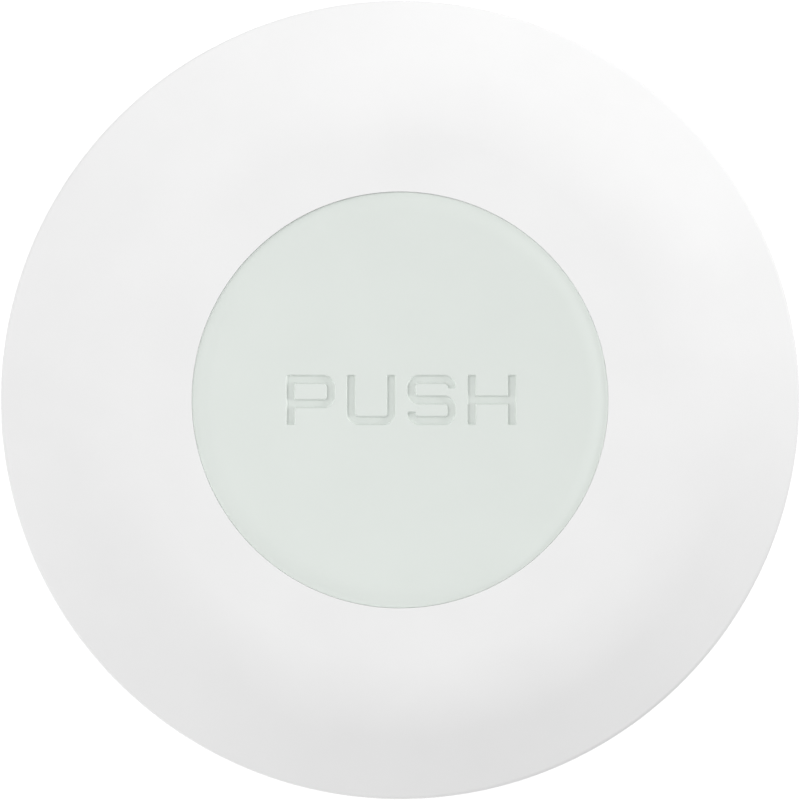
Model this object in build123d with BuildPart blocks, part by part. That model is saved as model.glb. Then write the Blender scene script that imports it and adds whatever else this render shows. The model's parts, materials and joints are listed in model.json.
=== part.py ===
"""Round water leak sensor: a domed cover with a press disc, over a sealed base on metal probes.

Millimetres, +Z up. The origin is on the floor, under the middle of the sensor. +Y is the way
the lettering on the press disc points up. The base stands on three probes; water that bridges
two of them is sensed. The press disc slides down onto a switch. The battery door turns out on
three helical lugs.
"""

import os
from math import asin, cos, degrees, radians, sin, tan

from build123d import *

os.makedirs("parts", exist_ok=True)

# Overall sizes
body_diameter = 80.0
overall_height = 25.0
foot_height = 1.5  # floor to the underside of the base

# Cover shell
wall = 2.0
side_angle = 6.0  # lean of the side, inwards on its way down
flat_ring_width = 5.1  # level ring round the press disc
shoulder_width = 8.0  # curved stretch between the level ring and the flank
flank_angle = 24.0  # fall of the flank below level
rim_round = 0.6
recess_edge_round = 0.2
shadow_gap = 0.2  # open line between the cover and the base

# Press disc: a soft pad bonded on a rigid carrier
disc_diameter = 41.5
disc_gap = 0.18  # radial gap between the disc and the cover
button_travel = 0.8
pad_height = 1.9
dish_depth = 0.8
pad_roll_width = 2.0  # width of the rolled edge
pad_roll_radius = 4.2
carrier_plate = 1.4
skirt_height = 1.1
skirt_wall = 1.25
pan_clearance = 0.3  # left under the skirt when the disc is fully down

# Lettering sunk in the pad, drawn as strokes of one width
letter_height = 4.9
letter_width = 4.8
letter_pitch = 6.03
word_shift = 0.13  # middle of the word, to the right of the disc's middle
letter_stroke = 0.8
letter_corner = 0.75  # radius on the middle of a stroke
letter_depth = 0.42
bowl_drop = 0.37  # middle of the lower bar of the letter P, below the letter's middle
hook_height = 1.2  # ends of the letter S, from the letter's middle

# Stem, its clip, seal and spring
stem_radius = 1.9
stem_bore_clearance = 0.05
groove_depth = 0.5
clip_thickness = 0.5
clip_play = 0.05
clip_radius = 3.4
clip_ring_width = 1.0
clip_opening = 2.6
stem_boss_radius = 4.4
stem_boss_drop = 0.9
pan_thickness = 1.5
stem_seal_section = 0.6  # radius of the ring's round section
gland_depth = 1.4
seal_clearance = 0.03
washer_thickness = 0.3
washer_radius = 4.6
spring_radius = 3.5
spring_wire = 0.15  # wire radius
spring_turns = 2.25
spring_guide_radius = 3.0
spring_guide_height = 0.4

# Guide posts of the press disc, in blind sockets of the cover
guide_circle = 15.0
guide_angles = (30, 150, 270)
guide_radius = 1.2
guide_length = 4.1
guide_clearance = 0.08
guide_socket_wall = 1.0
guide_socket_floor = 0.8

# Base
floor_thickness = 2.0
flange_setback = 0.2
flange_thickness = 1.9
base_edge_round = 1.1
spigot_clearance = 0.19
spigot_wall = 2.4
spigot_height = 5.0  # above the base floor
case_seal_height = 2.3  # middle of the seal, above the base floor
case_seal_groove_depth = 1.0
case_seal_groove_width = 1.6

# Battery and its door
battery_diameter = 24.5
battery_thickness = 5.0
battery_edge_round = 0.3
battery_step = 0.4  # the smaller cap stands this much out of the can
battery_cap_inset = 2.2
battery_side_clearance = 0.4
battery_pad_thickness = 0.4
battery_pad_inset = 1.5
door_recess = 0.2
door_floor = 2.2
door_neck_wall = 1.2
door_neck_clearance = 0.2
door_flange_height = 3.2
door_flange_overlap = 2.6  # flange radius beyond the neck
door_flange_clearance = 0.15
door_neck_height = 2.6
collar_wall = 1.9
collar_roof_gap = 0.3
collar_roof = 3.2
coin_slot_length = 17.0
coin_slot_width = 2.0
coin_slot_depth = 1.2
door_seal_groove_depth = 1.05
door_seal_groove_width = 1.4

# Helical lugs on the door, and their grooves in the collar
lug_lead = 18.0  # drop in one whole turn
lug_count = 3
lug_reach = 1.25
lug_height = 1.2
lug_angle = 26.0
lug_root = 0.4  # how far a lug is sunk in the neck
lug_clearance = 0.15
lug_stop_play = 1.0  # degrees past the lug at the closed end
groove_turn = 62.0  # degrees of groove in front of the lug

# Marks sunk beside the door
mark_depth = 0.25
mark_radius = 0.8
mark_ring = 0.35
mark_offset = 1.9  # from the edge of the door's bore
pointer_size = 0.9
pointer_inset = 1.7

# Circuit board
board_edge_gap = 2.0  # inside the spigot's outer face
board_thickness = 1.2
contact_space = 1.2  # between the battery and the board
board_post_circle = 26.0
board_post_angles = (60, 180, 300)
board_post_radius = 2.6
board_hole_radius = 1.1
board_pilot_radius = 0.8
board_screw_core = 0.75
board_screw_head_radius = 1.9
board_screw_head_height = 1.2
board_screw_length = 5.0
board_slot_length = 2.0
board_slot_width = 0.5
board_slot_depth = 0.8

# Screw heads
head_flat_share = 0.75  # flat of a head, as a share of its radius
head_crown_share = 0.35  # rounded part of a head, as a share of its height

# Case screws
screw_spigot_gap = 0.4  # between a screw boss and the spigot's inner face
screw_angles = (30, 150, 270)
screw_boss_radius = 3.2
screw_pilot_radius = 1.1
screw_core_radius = 1.05
screw_head_radius = 2.3
screw_head_height = 1.8
screw_length = 10.0
screw_tip = 1.2
screw_web = 2.0
screw_well_radius = 2.6
screw_well_depth = 2.8
screw_well_wall = 1.2
screw_hole_radius = 1.35
screw_boss_gap = 0.1
drive_slot_length = 2.6
drive_slot_width = 0.6
drive_slot_depth = 0.9
board_notch_gap = 0.5

# Probes
probe_inset = 8.2  # from the cover's lower outer edge to the probe's middle
probe_angles = (90, 210, 330)
probe_shank_radius = 1.25
probe_head_radius = 3.0
probe_tip_radius = 1.6
probe_head_rim = 0.4
probe_hole_clearance = 0.05
probe_boss_radius = 3.0
probe_boss_height = 2.9  # above the base floor
probe_top = 0.9  # shank above its clip
probe_clip_thickness = 0.4
probe_clip_radius = 2.6
probe_seal_section = 0.5
probe_spring_radius = 1.0
probe_spring_wire = 0.15
probe_spring_turns = 4.0
probe_pad_radius = 1.7
probe_pad_thickness = 0.3

# Switch
switch_side = 6.0
switch_body_height = 2.3
switch_frame_thickness = 0.3
switch_plunger_radius = 1.75
switch_plunger_rise = 1.1  # above the frame, at rest
switch_bore_clearance = 0.08
switch_flange_radius = 2.3
switch_flange_height = 0.4
switch_floor_gap = 0.2
switch_corner = 0.5

# Status light
led_size = (2.0, 1.25, 0.8)
light_offset = 9.5
light_pipe_radius = 1.5
light_pipe_fit = 0.05
light_pipe_head_radius = 2.2
light_pipe_head_height = 0.6
light_pipe_gap = 0.3

# Buzzer, its sound ports and membrane
buzzer_wall_gap = 0.45  # between the buzzer and the spigot
buzzer_radius = 7.0
buzzer_height = 5.2
buzzer_shell = 0.8
buzzer_ledge = 0.8
buzzer_ledge_height = 1.3
buzzer_disc_thickness = 0.4
buzzer_disc_clearance = 0.1
buzzer_port_radius = 1.5
buzzer_pin_radius = 0.35
buzzer_pin_spacing = 6.5
buzzer_pin_length = 1.8
buzzer_pin_hole = 0.5
gasket_outer_radius = 6.0
gasket_inner_radius = 3.6
membrane_radius = 5.0
membrane_thickness = 0.3
port_radius = 0.6
port_circle = 2.4
port_count = 6

# Radio and other parts on the board
radio_place = (-12.0, -17.0)
radio_board_size = (16.0, 12.0, 0.8)
radio_can_size = (12.0, 10.0, 2.0)
radio_can_wall = 0.2
antenna_place = (-13.8, 23.9)
antenna_turn = 30.0  # degrees of its axis from +X
antenna_radius = 2.1
antenna_wire = 0.35
antenna_length = 11.9
antenna_pitch = 1.7
antenna_lift = 0.3
chip_place = (12.5, -8.5)
chip_size = (7.0, 7.0, 0.9)
crystal_place = (5.5, -13.5)
crystal_size = (3.2, 2.5, 0.8)
capacitor_place = (19.0, 8.5)
capacitor_size = (4.3, 7.3, 2.9)
coil_place = (20.5, -12.5)
coil_radius = 2.6
coil_height = 3.4
coil_waist = 2.0
coil_flange = 0.6
small_size = (1.0, 0.5, 0.5)
small_grid_places = ((12.5, -2.5), (-12.0, -8.0), (-8.0, 12.0))
small_grid_pitch = 2.2
small_grid_count = 5

# Battery contacts
contact_thickness = 0.25
contact_touch_gap = 0.03
contact_negative_width = 4.0
contact_negative_foot = 6.0  # soldered end, from the sensor's middle
contact_negative_fold = 4.5  # where the strip starts to fold back
contact_negative_nose = 5.4
contact_negative_touch = (2.5, -1.0)  # the stretch that lies on the battery
contact_negative_tip = -3.0
contact_positive_width = 6.0
contact_positive_foot = 5.0
contact_positive_lean = 0.9
contact_positive_tip = 0.5

# Heights of the stack, from the floor up
base_bottom = foot_height
base_floor_top = base_bottom + floor_thickness
door_face = base_bottom + door_recess
door_floor_top = door_face + door_floor
battery_bottom = door_floor_top + battery_pad_thickness
battery_top = battery_bottom + battery_thickness
board_bottom = battery_top + contact_space
board_top = board_bottom + board_thickness
switch_frame_top = board_top + switch_body_height + switch_frame_thickness
plunger_top = switch_frame_top + switch_plunger_rise

# Heights of the stack, from the top down
cover_top = overall_height
pad_bottom = cover_top - pad_height
plate_bottom = pad_bottom - carrier_plate
skirt_bottom = plate_bottom - skirt_height
pan_top = skirt_bottom - button_travel - pan_clearance
pan_bottom = pan_top - pan_thickness
stem_boss_bottom = pan_bottom - stem_boss_drop
clip_top = stem_boss_bottom - clip_play
clip_bottom = clip_top - clip_thickness
groove_top = stem_boss_bottom
groove_bottom = clip_bottom - clip_play

# Radii of the cover and of the base inside it
body_radius = body_diameter / 2
side_lean = radians(side_angle)
side_slope = tan(side_lean)
side_wall = wall / cos(side_lean)  # the wall measured level
disc_radius = disc_diameter / 2
recess_radius = disc_radius + disc_gap
flat_radius = recess_radius + flat_ring_width
shoulder_radius = shoulder_width / sin(radians(flank_angle))
shoulder_end = flat_radius + shoulder_width
shoulder_end_z = cover_top - shoulder_radius * (1 - cos(radians(flank_angle)))
# The rim's sharp corner stands proud of the widest place that its rounding leaves
rim_turn = radians(90 - flank_angle) + side_lean
rim_overhang = rim_round * (tan(rim_turn / 2) * sin(side_lean) + cos(side_lean) - 1)
rim_radius = body_radius + rim_overhang
rim_z = shoulder_end_z - (rim_radius - shoulder_end) * tan(radians(flank_angle))
flange_top = base_bottom + flange_thickness
cover_bottom = flange_top + shadow_gap
lower_radius = rim_radius - (rim_z - cover_bottom) * side_slope


def cover_inner_radius(height):
    """Inside radius of the cover's side at a height."""
    return lower_radius - side_wall + (height - cover_bottom) * side_slope


spigot_radius = cover_inner_radius(cover_bottom) - spigot_clearance
spigot_inner_radius = spigot_radius - spigot_wall
spigot_top = base_floor_top + spigot_height
board_radius = spigot_radius - board_edge_gap
buzzer_offset = spigot_inner_radius - buzzer_radius - buzzer_wall_gap
screw_circle = spigot_inner_radius - screw_boss_radius - screw_spigot_gap
probe_circle = lower_radius - probe_inset

# Radii and heights of the battery door and its collar
battery_radius = battery_diameter / 2
neck_inner = battery_radius + battery_side_clearance
neck_radius = neck_inner + door_neck_wall
collar_inner = neck_radius + door_neck_clearance
door_radius = neck_radius + door_flange_overlap
door_bore = door_radius + door_flange_clearance
collar_radius = door_bore + collar_wall
door_flange_top = door_face + door_flange_height
neck_top = door_flange_top + door_neck_height
collar_roof_bottom = door_flange_top + collar_roof_gap
collar_top = collar_roof_bottom + collar_roof
lug_z = door_flange_top + door_neck_height / 2

# Heights of the screw wells and probe bosses
screw_seat_z = base_bottom + screw_well_depth
screw_well_top = screw_seat_z + screw_web
screw_boss_bottom = screw_well_top + screw_boss_gap
probe_boss_top = base_floor_top + probe_boss_height
probe_clip_top = probe_boss_top + probe_clip_thickness
probe_shank_top = probe_clip_top + probe_top
probe_hole = probe_shank_radius + probe_hole_clearance
probe_seal_depth = 2 * probe_seal_section
probe_seal_outer = probe_hole + 2 * probe_seal_section + probe_hole_clearance


def polar(circle, angle):
    """Point at an angle on a circle about the sensor's axis."""
    return (circle * cos(radians(angle)), circle * sin(radians(angle)))


def upright(place):
    """Upright plane through a point of the plan, to draw and turn a profile in."""
    return Plane(origin=(place[0], place[1], 0), x_dir=(1, 0, 0), z_dir=(0, -1, 0))


def axis_at(place):
    """Upright axis through a point of the plan."""
    return Axis((place[0], place[1], 0), (0, 0, 1))


def seal_ring(name, place, middle_radius, section, height):
    """Round seal ring with a round section, lying level round a point of the plan."""
    with BuildPart() as ring:
        with BuildSketch(upright(place)):
            with Locations((middle_radius, height)):
                Circle(section)
        revolve(axis=axis_at(place))
    save(ring.part, name)


def coil_spring(name, start, direction, middle_radius, wire_radius, length, turns):
    """Open coil of round wire that starts at a point and runs in a direction."""
    pitch = (length - 2 * wire_radius) / turns
    first = Vector(*start) + Vector(*direction) * wire_radius
    with BuildPart() as coil:
        with BuildLine() as path:
            Helix(pitch, pitch * turns, middle_radius, center=first, direction=direction)
        with BuildSketch(Plane(origin=path.line @ 0, z_dir=path.line % 0)):
            Circle(wire_radius)
        sweep(path=path.line, is_frenet=True)
    save(coil.part, name)


def helical_band(inner_radius, outer_radius, height, middle_z, start_angle, end_angle):
    """Band of rectangular section along the door's helix, which passes middle_z at angle 0."""
    path_radius = (inner_radius + outer_radius) / 2
    start_z = middle_z + start_angle / 360 * lug_lead
    rise = (end_angle - start_angle) / 360 * lug_lead
    with BuildPart() as band:
        with BuildLine() as path:
            Helix(lug_lead, rise, path_radius, center=(0, 0, start_z))
        start = path.line @ 0
        with BuildSketch(Plane(origin=start, x_dir=(1, 0, 0), z_dir=path.line % 0)):
            Rectangle(outer_radius - inner_radius, height)
        sweep(path=path.line, is_frenet=True)
    return band.part.rotate(Axis.Z, start_angle)


def save(part, name):
    """Label a finished piece and write it under its name."""
    part.label = name
    export_step(part, f"parts/{name}.step")


# Press pad: soft disc with a shallow dish, a rolled edge and sunk lettering
crest_radius = disc_radius - pad_roll_width
dish_radius = (crest_radius**2 + dish_depth**2) / (2 * dish_depth)
dish_slope = asin(crest_radius / dish_radius)
roll_slope = asin(pad_roll_width / pad_roll_radius - sin(dish_slope))
crest_z = cover_top - pad_roll_radius * (1 - cos(dish_slope))

with BuildPart() as pad_blank:
    with BuildSketch(Plane.XZ):
        with BuildLine():
            dish = RadiusArc((0, crest_z - dish_depth), (crest_radius, crest_z), -dish_radius)
            roll = JernArc(
                start=dish @ 1,
                tangent=(cos(dish_slope), sin(dish_slope)),
                radius=pad_roll_radius,
                arc_size=-degrees(dish_slope + roll_slope),
            )
            Polyline(roll @ 1, (disc_radius, pad_bottom), (0, pad_bottom), dish @ 0)
        make_face()
    revolve(axis=Axis.Z)

stroke_half = letter_stroke / 2
left = -letter_width / 2 + stroke_half
right = -left
upper = letter_height / 2 - stroke_half
lower = -upper
head = letter_height / 2
letter_strokes = (
    (
        [(left, -head), (left, upper), (right, upper), (right, -bowl_drop), (left, -bowl_drop)],
    ),
    ([(left, head), (left, lower), (right, lower), (right, head)],),
    (
        [(right, hook_height), (right, upper), (left, upper), (left, 0)]
        + [(right, 0), (right, lower), (left, lower), (left, -hook_height)],
    ),
    (
        [(left, -head), (left, head)],
        [(right, -head), (right, head)],
        [(left, 0), (right, 0)],
    ),
)
stem_corner = letter_strokes[0][0][1]  # the letter P keeps this corner square

with BuildPart() as letter_cutter:
    with BuildSketch(Plane.XY.offset(pad_bottom)):
        for place, strokes in enumerate(letter_strokes):
            middle = word_shift + (place - (len(letter_strokes) - 1) / 2) * letter_pitch
            for points in strokes:
                with BuildLine():
                    bends = points[1:-1]
                    square = place == 0
                    radii = [0 if square and p == stem_corner else letter_corner for p in bends]
                    moved = [(x + middle, y) for x, y in points]
                    if radii:
                        FilletPolyline(*moved, radius=radii)
                    else:
                        Line(*moved)
                trace(line_width=letter_stroke)
    extrude(amount=pad_height + dish_depth)
    add(pad_blank.part.moved(Location((0, 0, -letter_depth))), mode=Mode.SUBTRACT)

with BuildPart() as push_pad:
    add(pad_blank.part)
    add(letter_cutter.part, mode=Mode.SUBTRACT)
save(push_pad.part, "push_pad")

# Carrier: rigid plate under the pad, with its skirt, stem and guide posts
with BuildPart() as button_carrier:
    with BuildSketch(Plane.XZ):
        with BuildLine():
            Polyline(
                (0, pad_bottom),
                (disc_radius, pad_bottom),
                (disc_radius, skirt_bottom),
                (disc_radius - skirt_wall, skirt_bottom),
                (disc_radius - skirt_wall, plate_bottom),
                (spring_guide_radius, plate_bottom),
                (spring_guide_radius, plate_bottom - spring_guide_height),
                (stem_radius, plate_bottom - spring_guide_height),
                (stem_radius, groove_top),
                (stem_radius - groove_depth, groove_top),
                (stem_radius - groove_depth, groove_bottom),
                (stem_radius, groove_bottom),
                (stem_radius, plunger_top),
                (0, plunger_top),
                close=True,
            )
        make_face()
    revolve(axis=Axis.Z)
    with BuildSketch(Plane.XY.offset(plate_bottom - guide_length)):
        for angle in guide_angles:
            with Locations(polar(guide_circle, angle)):
                Circle(guide_radius)
    extrude(amount=guide_length)
save(button_carrier.part, "button_carrier")

# Clip that holds the stem under the cover
with BuildPart() as stem_clip:
    with BuildSketch(Plane.XY.offset(clip_bottom)):
        Circle(clip_radius)
        Circle(clip_radius - clip_ring_width, mode=Mode.SUBTRACT)
        with PolarLocations(clip_radius - clip_ring_width, 3, start_angle=90):
            Rectangle(clip_ring_width * 2, clip_ring_width)
        Circle(stem_radius - groove_depth + clip_play, mode=Mode.SUBTRACT)
        with Locations((0, -clip_radius)):
            Rectangle(clip_opening, clip_ring_width * 3, mode=Mode.SUBTRACT)
    extrude(amount=clip_thickness)
save(stem_clip.part, "stem_clip")

# Seal, washer and spring round the stem
gland_radius = stem_radius + seal_clearance + 2 * stem_seal_section + clip_play
stem_seal_z = pan_top - gland_depth + stem_seal_section + clip_play
seal_ring(
    "stem_seal",
    (0, 0),
    stem_radius + seal_clearance + stem_seal_section,
    stem_seal_section,
    stem_seal_z,
)

with BuildPart() as spring_washer:
    with BuildSketch(Plane.XY.offset(pan_top)):
        Circle(washer_radius)
        Circle(stem_radius + clip_play * 2, mode=Mode.SUBTRACT)
    extrude(amount=washer_thickness)
save(spring_washer.part, "spring_washer")

washer_top = pan_top + washer_thickness
coil_spring(
    "return_spring",
    (0, 0, washer_top),
    (0, 0, 1),
    spring_radius,
    spring_wire,
    plate_bottom - washer_top,
    spring_turns,
)

# Cover: domed shell with a pan under the press disc
inner_shoulder = shoulder_radius - wall
ceiling = cover_top - wall
inner_flank_drop = inner_shoulder * (1 - cos(radians(flank_angle)))
inner_flank_start = (
    flat_radius + inner_shoulder * sin(radians(flank_angle)),
    ceiling - inner_flank_drop,
)
# The inner flank meets the inner side where both have one radius
flank_fall = tan(radians(flank_angle))
inner_corner_z = (
    inner_flank_start[1]
    - (cover_inner_radius(0) - inner_flank_start[0]) * flank_fall
) / (1 + side_slope * flank_fall)
inner_corner = (cover_inner_radius(inner_corner_z), inner_corner_z)
socket_outer = guide_radius + guide_clearance + guide_socket_wall
socket_bottom = plate_bottom - guide_length - button_travel - pan_clearance
light_place = (0, light_offset)

with BuildPart() as cover_cavity:
    with BuildSketch(Plane.XZ):
        with BuildLine():
            ceiling_line = Polyline(
                (0, cover_bottom),
                (0, pan_bottom),
                (recess_radius + wall, pan_bottom),
                (recess_radius + wall, ceiling),
                (flat_radius, ceiling),
            )
            inner_arc = JernArc(
                start=ceiling_line @ 1,
                tangent=(1, 0),
                radius=inner_shoulder,
                arc_size=-flank_angle,
            )
            Polyline(
                inner_arc @ 1,
                inner_corner,
                (cover_inner_radius(cover_bottom), cover_bottom),
                (0, cover_bottom),
            )
        make_face()
    revolve(axis=Axis.Z)
    with BuildSketch(Plane.XY.offset(screw_boss_bottom)):
        for angle in screw_angles:
            with Locations(polar(screw_circle, angle)):
                Circle(screw_boss_radius)
    extrude(amount=cover_top, mode=Mode.SUBTRACT)
    with BuildSketch(Plane.XY.offset(stem_boss_bottom)):
        Circle(stem_boss_radius)
    extrude(amount=cover_top, mode=Mode.SUBTRACT)
    with BuildSketch(Plane.XY.offset(socket_bottom - guide_socket_floor)):
        for angle in guide_angles:
            with Locations(polar(guide_circle, angle)):
                Circle(socket_outer)
    extrude(amount=cover_top, mode=Mode.SUBTRACT)

with BuildPart() as top_cover:
    with BuildSketch(Plane.XZ):
        with BuildLine():
            top_line = Polyline(
                (0, cover_bottom),
                (0, pan_top),
                (recess_radius, pan_top),
                (recess_radius, cover_top),
                (flat_radius, cover_top),
            )
            outer_arc = JernArc(
                start=top_line @ 1,
                tangent=(1, 0),
                radius=shoulder_radius,
                arc_size=-flank_angle,
            )
            Polyline(
                outer_arc @ 1,
                (rim_radius, rim_z),
                (lower_radius, cover_bottom),
                (0, cover_bottom),
            )
        make_face()
    revolve(axis=Axis.Z)
    circles = top_cover.edges().filter_by(GeomType.CIRCLE)
    fillet(circles.sort_by(SortBy.RADIUS)[-1], rim_round)
    circles = top_cover.edges().filter_by(GeomType.CIRCLE)
    recess_edges = circles.filter_by(lambda edge: abs(edge.radius - recess_radius) < disc_gap / 2)
    fillet(recess_edges.sort_by(Axis.Z)[-1], recess_edge_round)
    add(cover_cavity.part, mode=Mode.SUBTRACT)
    with Locations((0, 0, pan_top)):
        CounterBoreHole(stem_radius + stem_bore_clearance, gland_radius, gland_depth)
    with BuildSketch(Plane.XY.offset(socket_bottom)):
        for angle in guide_angles:
            with Locations(polar(guide_circle, angle)):
                Circle(guide_radius + guide_clearance)
    extrude(until=Until.LAST, mode=Mode.SUBTRACT)
    with BuildSketch(Plane.XY.offset(pan_bottom)):
        with Locations(light_place):
            Circle(light_pipe_radius + light_pipe_fit)
    extrude(amount=pan_thickness, mode=Mode.SUBTRACT)
    with BuildSketch(Plane.XY.offset(screw_boss_bottom)):
        for angle in screw_angles:
            with Locations(polar(screw_circle, angle)):
                Circle(screw_pilot_radius)
    extrude(amount=screw_length, mode=Mode.SUBTRACT)
save(top_cover.part, "top_cover")

# Light pipe through the pan, and the status light under it
led_top = board_top + led_size[2]
crown_rise = light_pipe_head_height / 2
light_pipe_crown = (light_pipe_head_radius**2 + crown_rise**2) / (2 * crown_rise)
with BuildPart() as light_pipe:
    with BuildSketch(upright(light_place)):
        with BuildLine():
            pipe_line = Polyline(
                (0, led_top + light_pipe_gap),
                (light_pipe_radius, led_top + light_pipe_gap),
                (light_pipe_radius, pan_top),
                (light_pipe_head_radius, pan_top),
                (light_pipe_head_radius, pan_top + light_pipe_head_height - crown_rise),
            )
            RadiusArc(
                pipe_line @ 1,
                (0, pan_top + light_pipe_head_height),
                -light_pipe_crown,
            )
            Line((0, pan_top + light_pipe_head_height), (0, led_top + light_pipe_gap))
        make_face()
    revolve(axis=axis_at(light_place))
save(light_pipe.part, "light_pipe")

with BuildPart() as status_led:
    with BuildSketch(Plane.XY.offset(board_top)):
        with Locations(light_place):
            Rectangle(led_size[0], led_size[1])
    extrude(amount=led_size[2])
    chamfer(status_led.edges().group_by(Axis.Z)[-1], led_size[2] / 5)
save(status_led.part, "status_led")

# Base: floor with a spigot into the cover, and a collar for the battery door
case_seal_z = base_floor_top + case_seal_height
case_groove_radius = spigot_radius - case_seal_groove_depth
case_groove_low = case_seal_z - case_seal_groove_width / 2
case_groove_high = case_seal_z + case_seal_groove_width / 2
flange_radius = lower_radius - flange_setback
buzzer_place = (buzzer_offset, 0)

with BuildPart() as base:
    with BuildSketch(Plane.XZ):
        with BuildLine():
            Polyline(
                (door_bore, base_bottom),
                (flange_radius, base_bottom),
                (flange_radius, flange_top),
                (spigot_radius, flange_top),
                (spigot_radius, case_groove_low),
                (case_groove_radius, case_groove_low),
                (case_groove_radius, case_groove_high),
                (spigot_radius, case_groove_high),
                (spigot_radius, spigot_top),
                (spigot_inner_radius, spigot_top),
                (spigot_inner_radius, base_floor_top),
                (collar_radius, base_floor_top),
                (collar_radius, collar_top),
                (collar_inner, collar_top),
                (collar_inner, collar_roof_bottom),
                (door_bore, collar_roof_bottom),
                close=True,
            )
        make_face()
    revolve(axis=Axis.Z)
    lower_edges = base.edges().filter_by(GeomType.CIRCLE).group_by(Axis.Z)[0]
    fillet(lower_edges.sort_by(SortBy.RADIUS)[-1], base_edge_round)
    with BuildSketch(Plane.XY.offset(base_bottom + floor_thickness / 2)):
        for angle in screw_angles:
            with Locations(polar(screw_circle, angle)):
                Circle(screw_well_radius + screw_well_wall)
    extrude(amount=screw_well_top - base_bottom - floor_thickness / 2)
    with BuildSketch(Plane.XY.offset(base_bottom + floor_thickness / 2)):
        for angle in probe_angles:
            with Locations(polar(probe_circle, angle)):
                Circle(probe_boss_radius)
    extrude(amount=probe_boss_top - base_bottom - floor_thickness / 2)
    with BuildSketch(Plane.XY.offset(base_bottom + floor_thickness / 2)):
        for angle in board_post_angles:
            with Locations(polar(board_post_circle, angle)):
                Circle(board_post_radius)
    extrude(amount=board_bottom - base_bottom - floor_thickness / 2)
    with BuildSketch(Plane.XY.offset(base_bottom)):
        for angle in screw_angles:
            with Locations(polar(screw_circle, angle)):
                Circle(screw_well_radius)
    extrude(amount=screw_well_depth, mode=Mode.SUBTRACT)
    with BuildSketch(Plane.XY.offset(screw_seat_z)):
        for angle in screw_angles:
            with Locations(polar(screw_circle, angle)):
                Circle(screw_hole_radius)
    extrude(amount=screw_web, mode=Mode.SUBTRACT)
    with BuildSketch(Plane.XY.offset(base_bottom)):
        for angle in probe_angles:
            with Locations(polar(probe_circle, angle)):
                Circle(probe_seal_outer)
    extrude(amount=probe_seal_depth, mode=Mode.SUBTRACT)
    with BuildSketch(Plane.XY.offset(base_bottom)):
        for angle in probe_angles:
            with Locations(polar(probe_circle, angle)):
                Circle(probe_hole)
    extrude(amount=probe_boss_top - base_bottom, mode=Mode.SUBTRACT)
    with BuildSketch(Plane.XY.offset(board_bottom - board_screw_length)):
        for angle in board_post_angles:
            with Locations(polar(board_post_circle, angle)):
                Circle(board_pilot_radius)
    extrude(amount=board_screw_length, mode=Mode.SUBTRACT)
    with BuildSketch(Plane.XY.offset(base_bottom)):
        with Locations(buzzer_place):
            Circle(port_radius)
            with PolarLocations(port_circle, port_count):
                Circle(port_radius)
    extrude(amount=floor_thickness, mode=Mode.SUBTRACT)
    groove_start = -lug_angle / 2 - groove_turn
    groove_end = lug_angle / 2 + lug_stop_play
    for place in range(lug_count):
        groove = helical_band(
            collar_inner - lug_root,
            neck_radius + lug_reach + lug_clearance,
            lug_height + 2 * lug_clearance,
            lug_z,
            groove_start,
            groove_end,
        )
        add(groove.rotate(Axis.Z, place * 360 / lug_count), mode=Mode.SUBTRACT)
    with BuildSketch(Plane.XY.offset(base_bottom)):
        with Locations(polar(door_bore + mark_offset, -90)):
            Circle(mark_radius)
        with Locations(polar(door_bore + mark_offset, -90 - groove_turn)):
            Circle(mark_radius)
            Circle(mark_radius - mark_ring, mode=Mode.SUBTRACT)
    extrude(amount=mark_depth, mode=Mode.SUBTRACT)
save(base.part, "base")

# Seal between the cover and the base
case_seal_section = (cover_inner_radius(case_seal_z) - case_groove_radius) / 2 - seal_clearance
seal_ring(
    "case_seal",
    (0, 0),
    case_groove_radius + seal_clearance + case_seal_section,
    case_seal_section,
    case_seal_z,
)

# Case screws, up through the base into the cover's bosses
screw_head_bottom = screw_seat_z - screw_head_height
with BuildPart() as case_screws:
    for angle in screw_angles:
        place = polar(screw_circle, angle)
        with BuildSketch(upright(place)):
            with BuildLine():
                Polyline(
                    (0, screw_head_bottom),
                    (screw_head_radius * head_flat_share, screw_head_bottom),
                    (screw_head_radius, screw_head_bottom + screw_head_height * head_crown_share),
                    (screw_head_radius, screw_seat_z),
                    (screw_core_radius, screw_seat_z),
                    (screw_core_radius, screw_seat_z + screw_length - screw_tip),
                    (0, screw_seat_z + screw_length),
                    close=True,
                )
            make_face()
        revolve(axis=axis_at(place))
        with BuildSketch(Plane.XY.offset(screw_head_bottom)):
            with Locations(place):
                Rectangle(drive_slot_length, drive_slot_width)
                Rectangle(drive_slot_width, drive_slot_length)
        extrude(amount=drive_slot_depth, mode=Mode.SUBTRACT)
save(case_screws.part, "case_screws")

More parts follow.
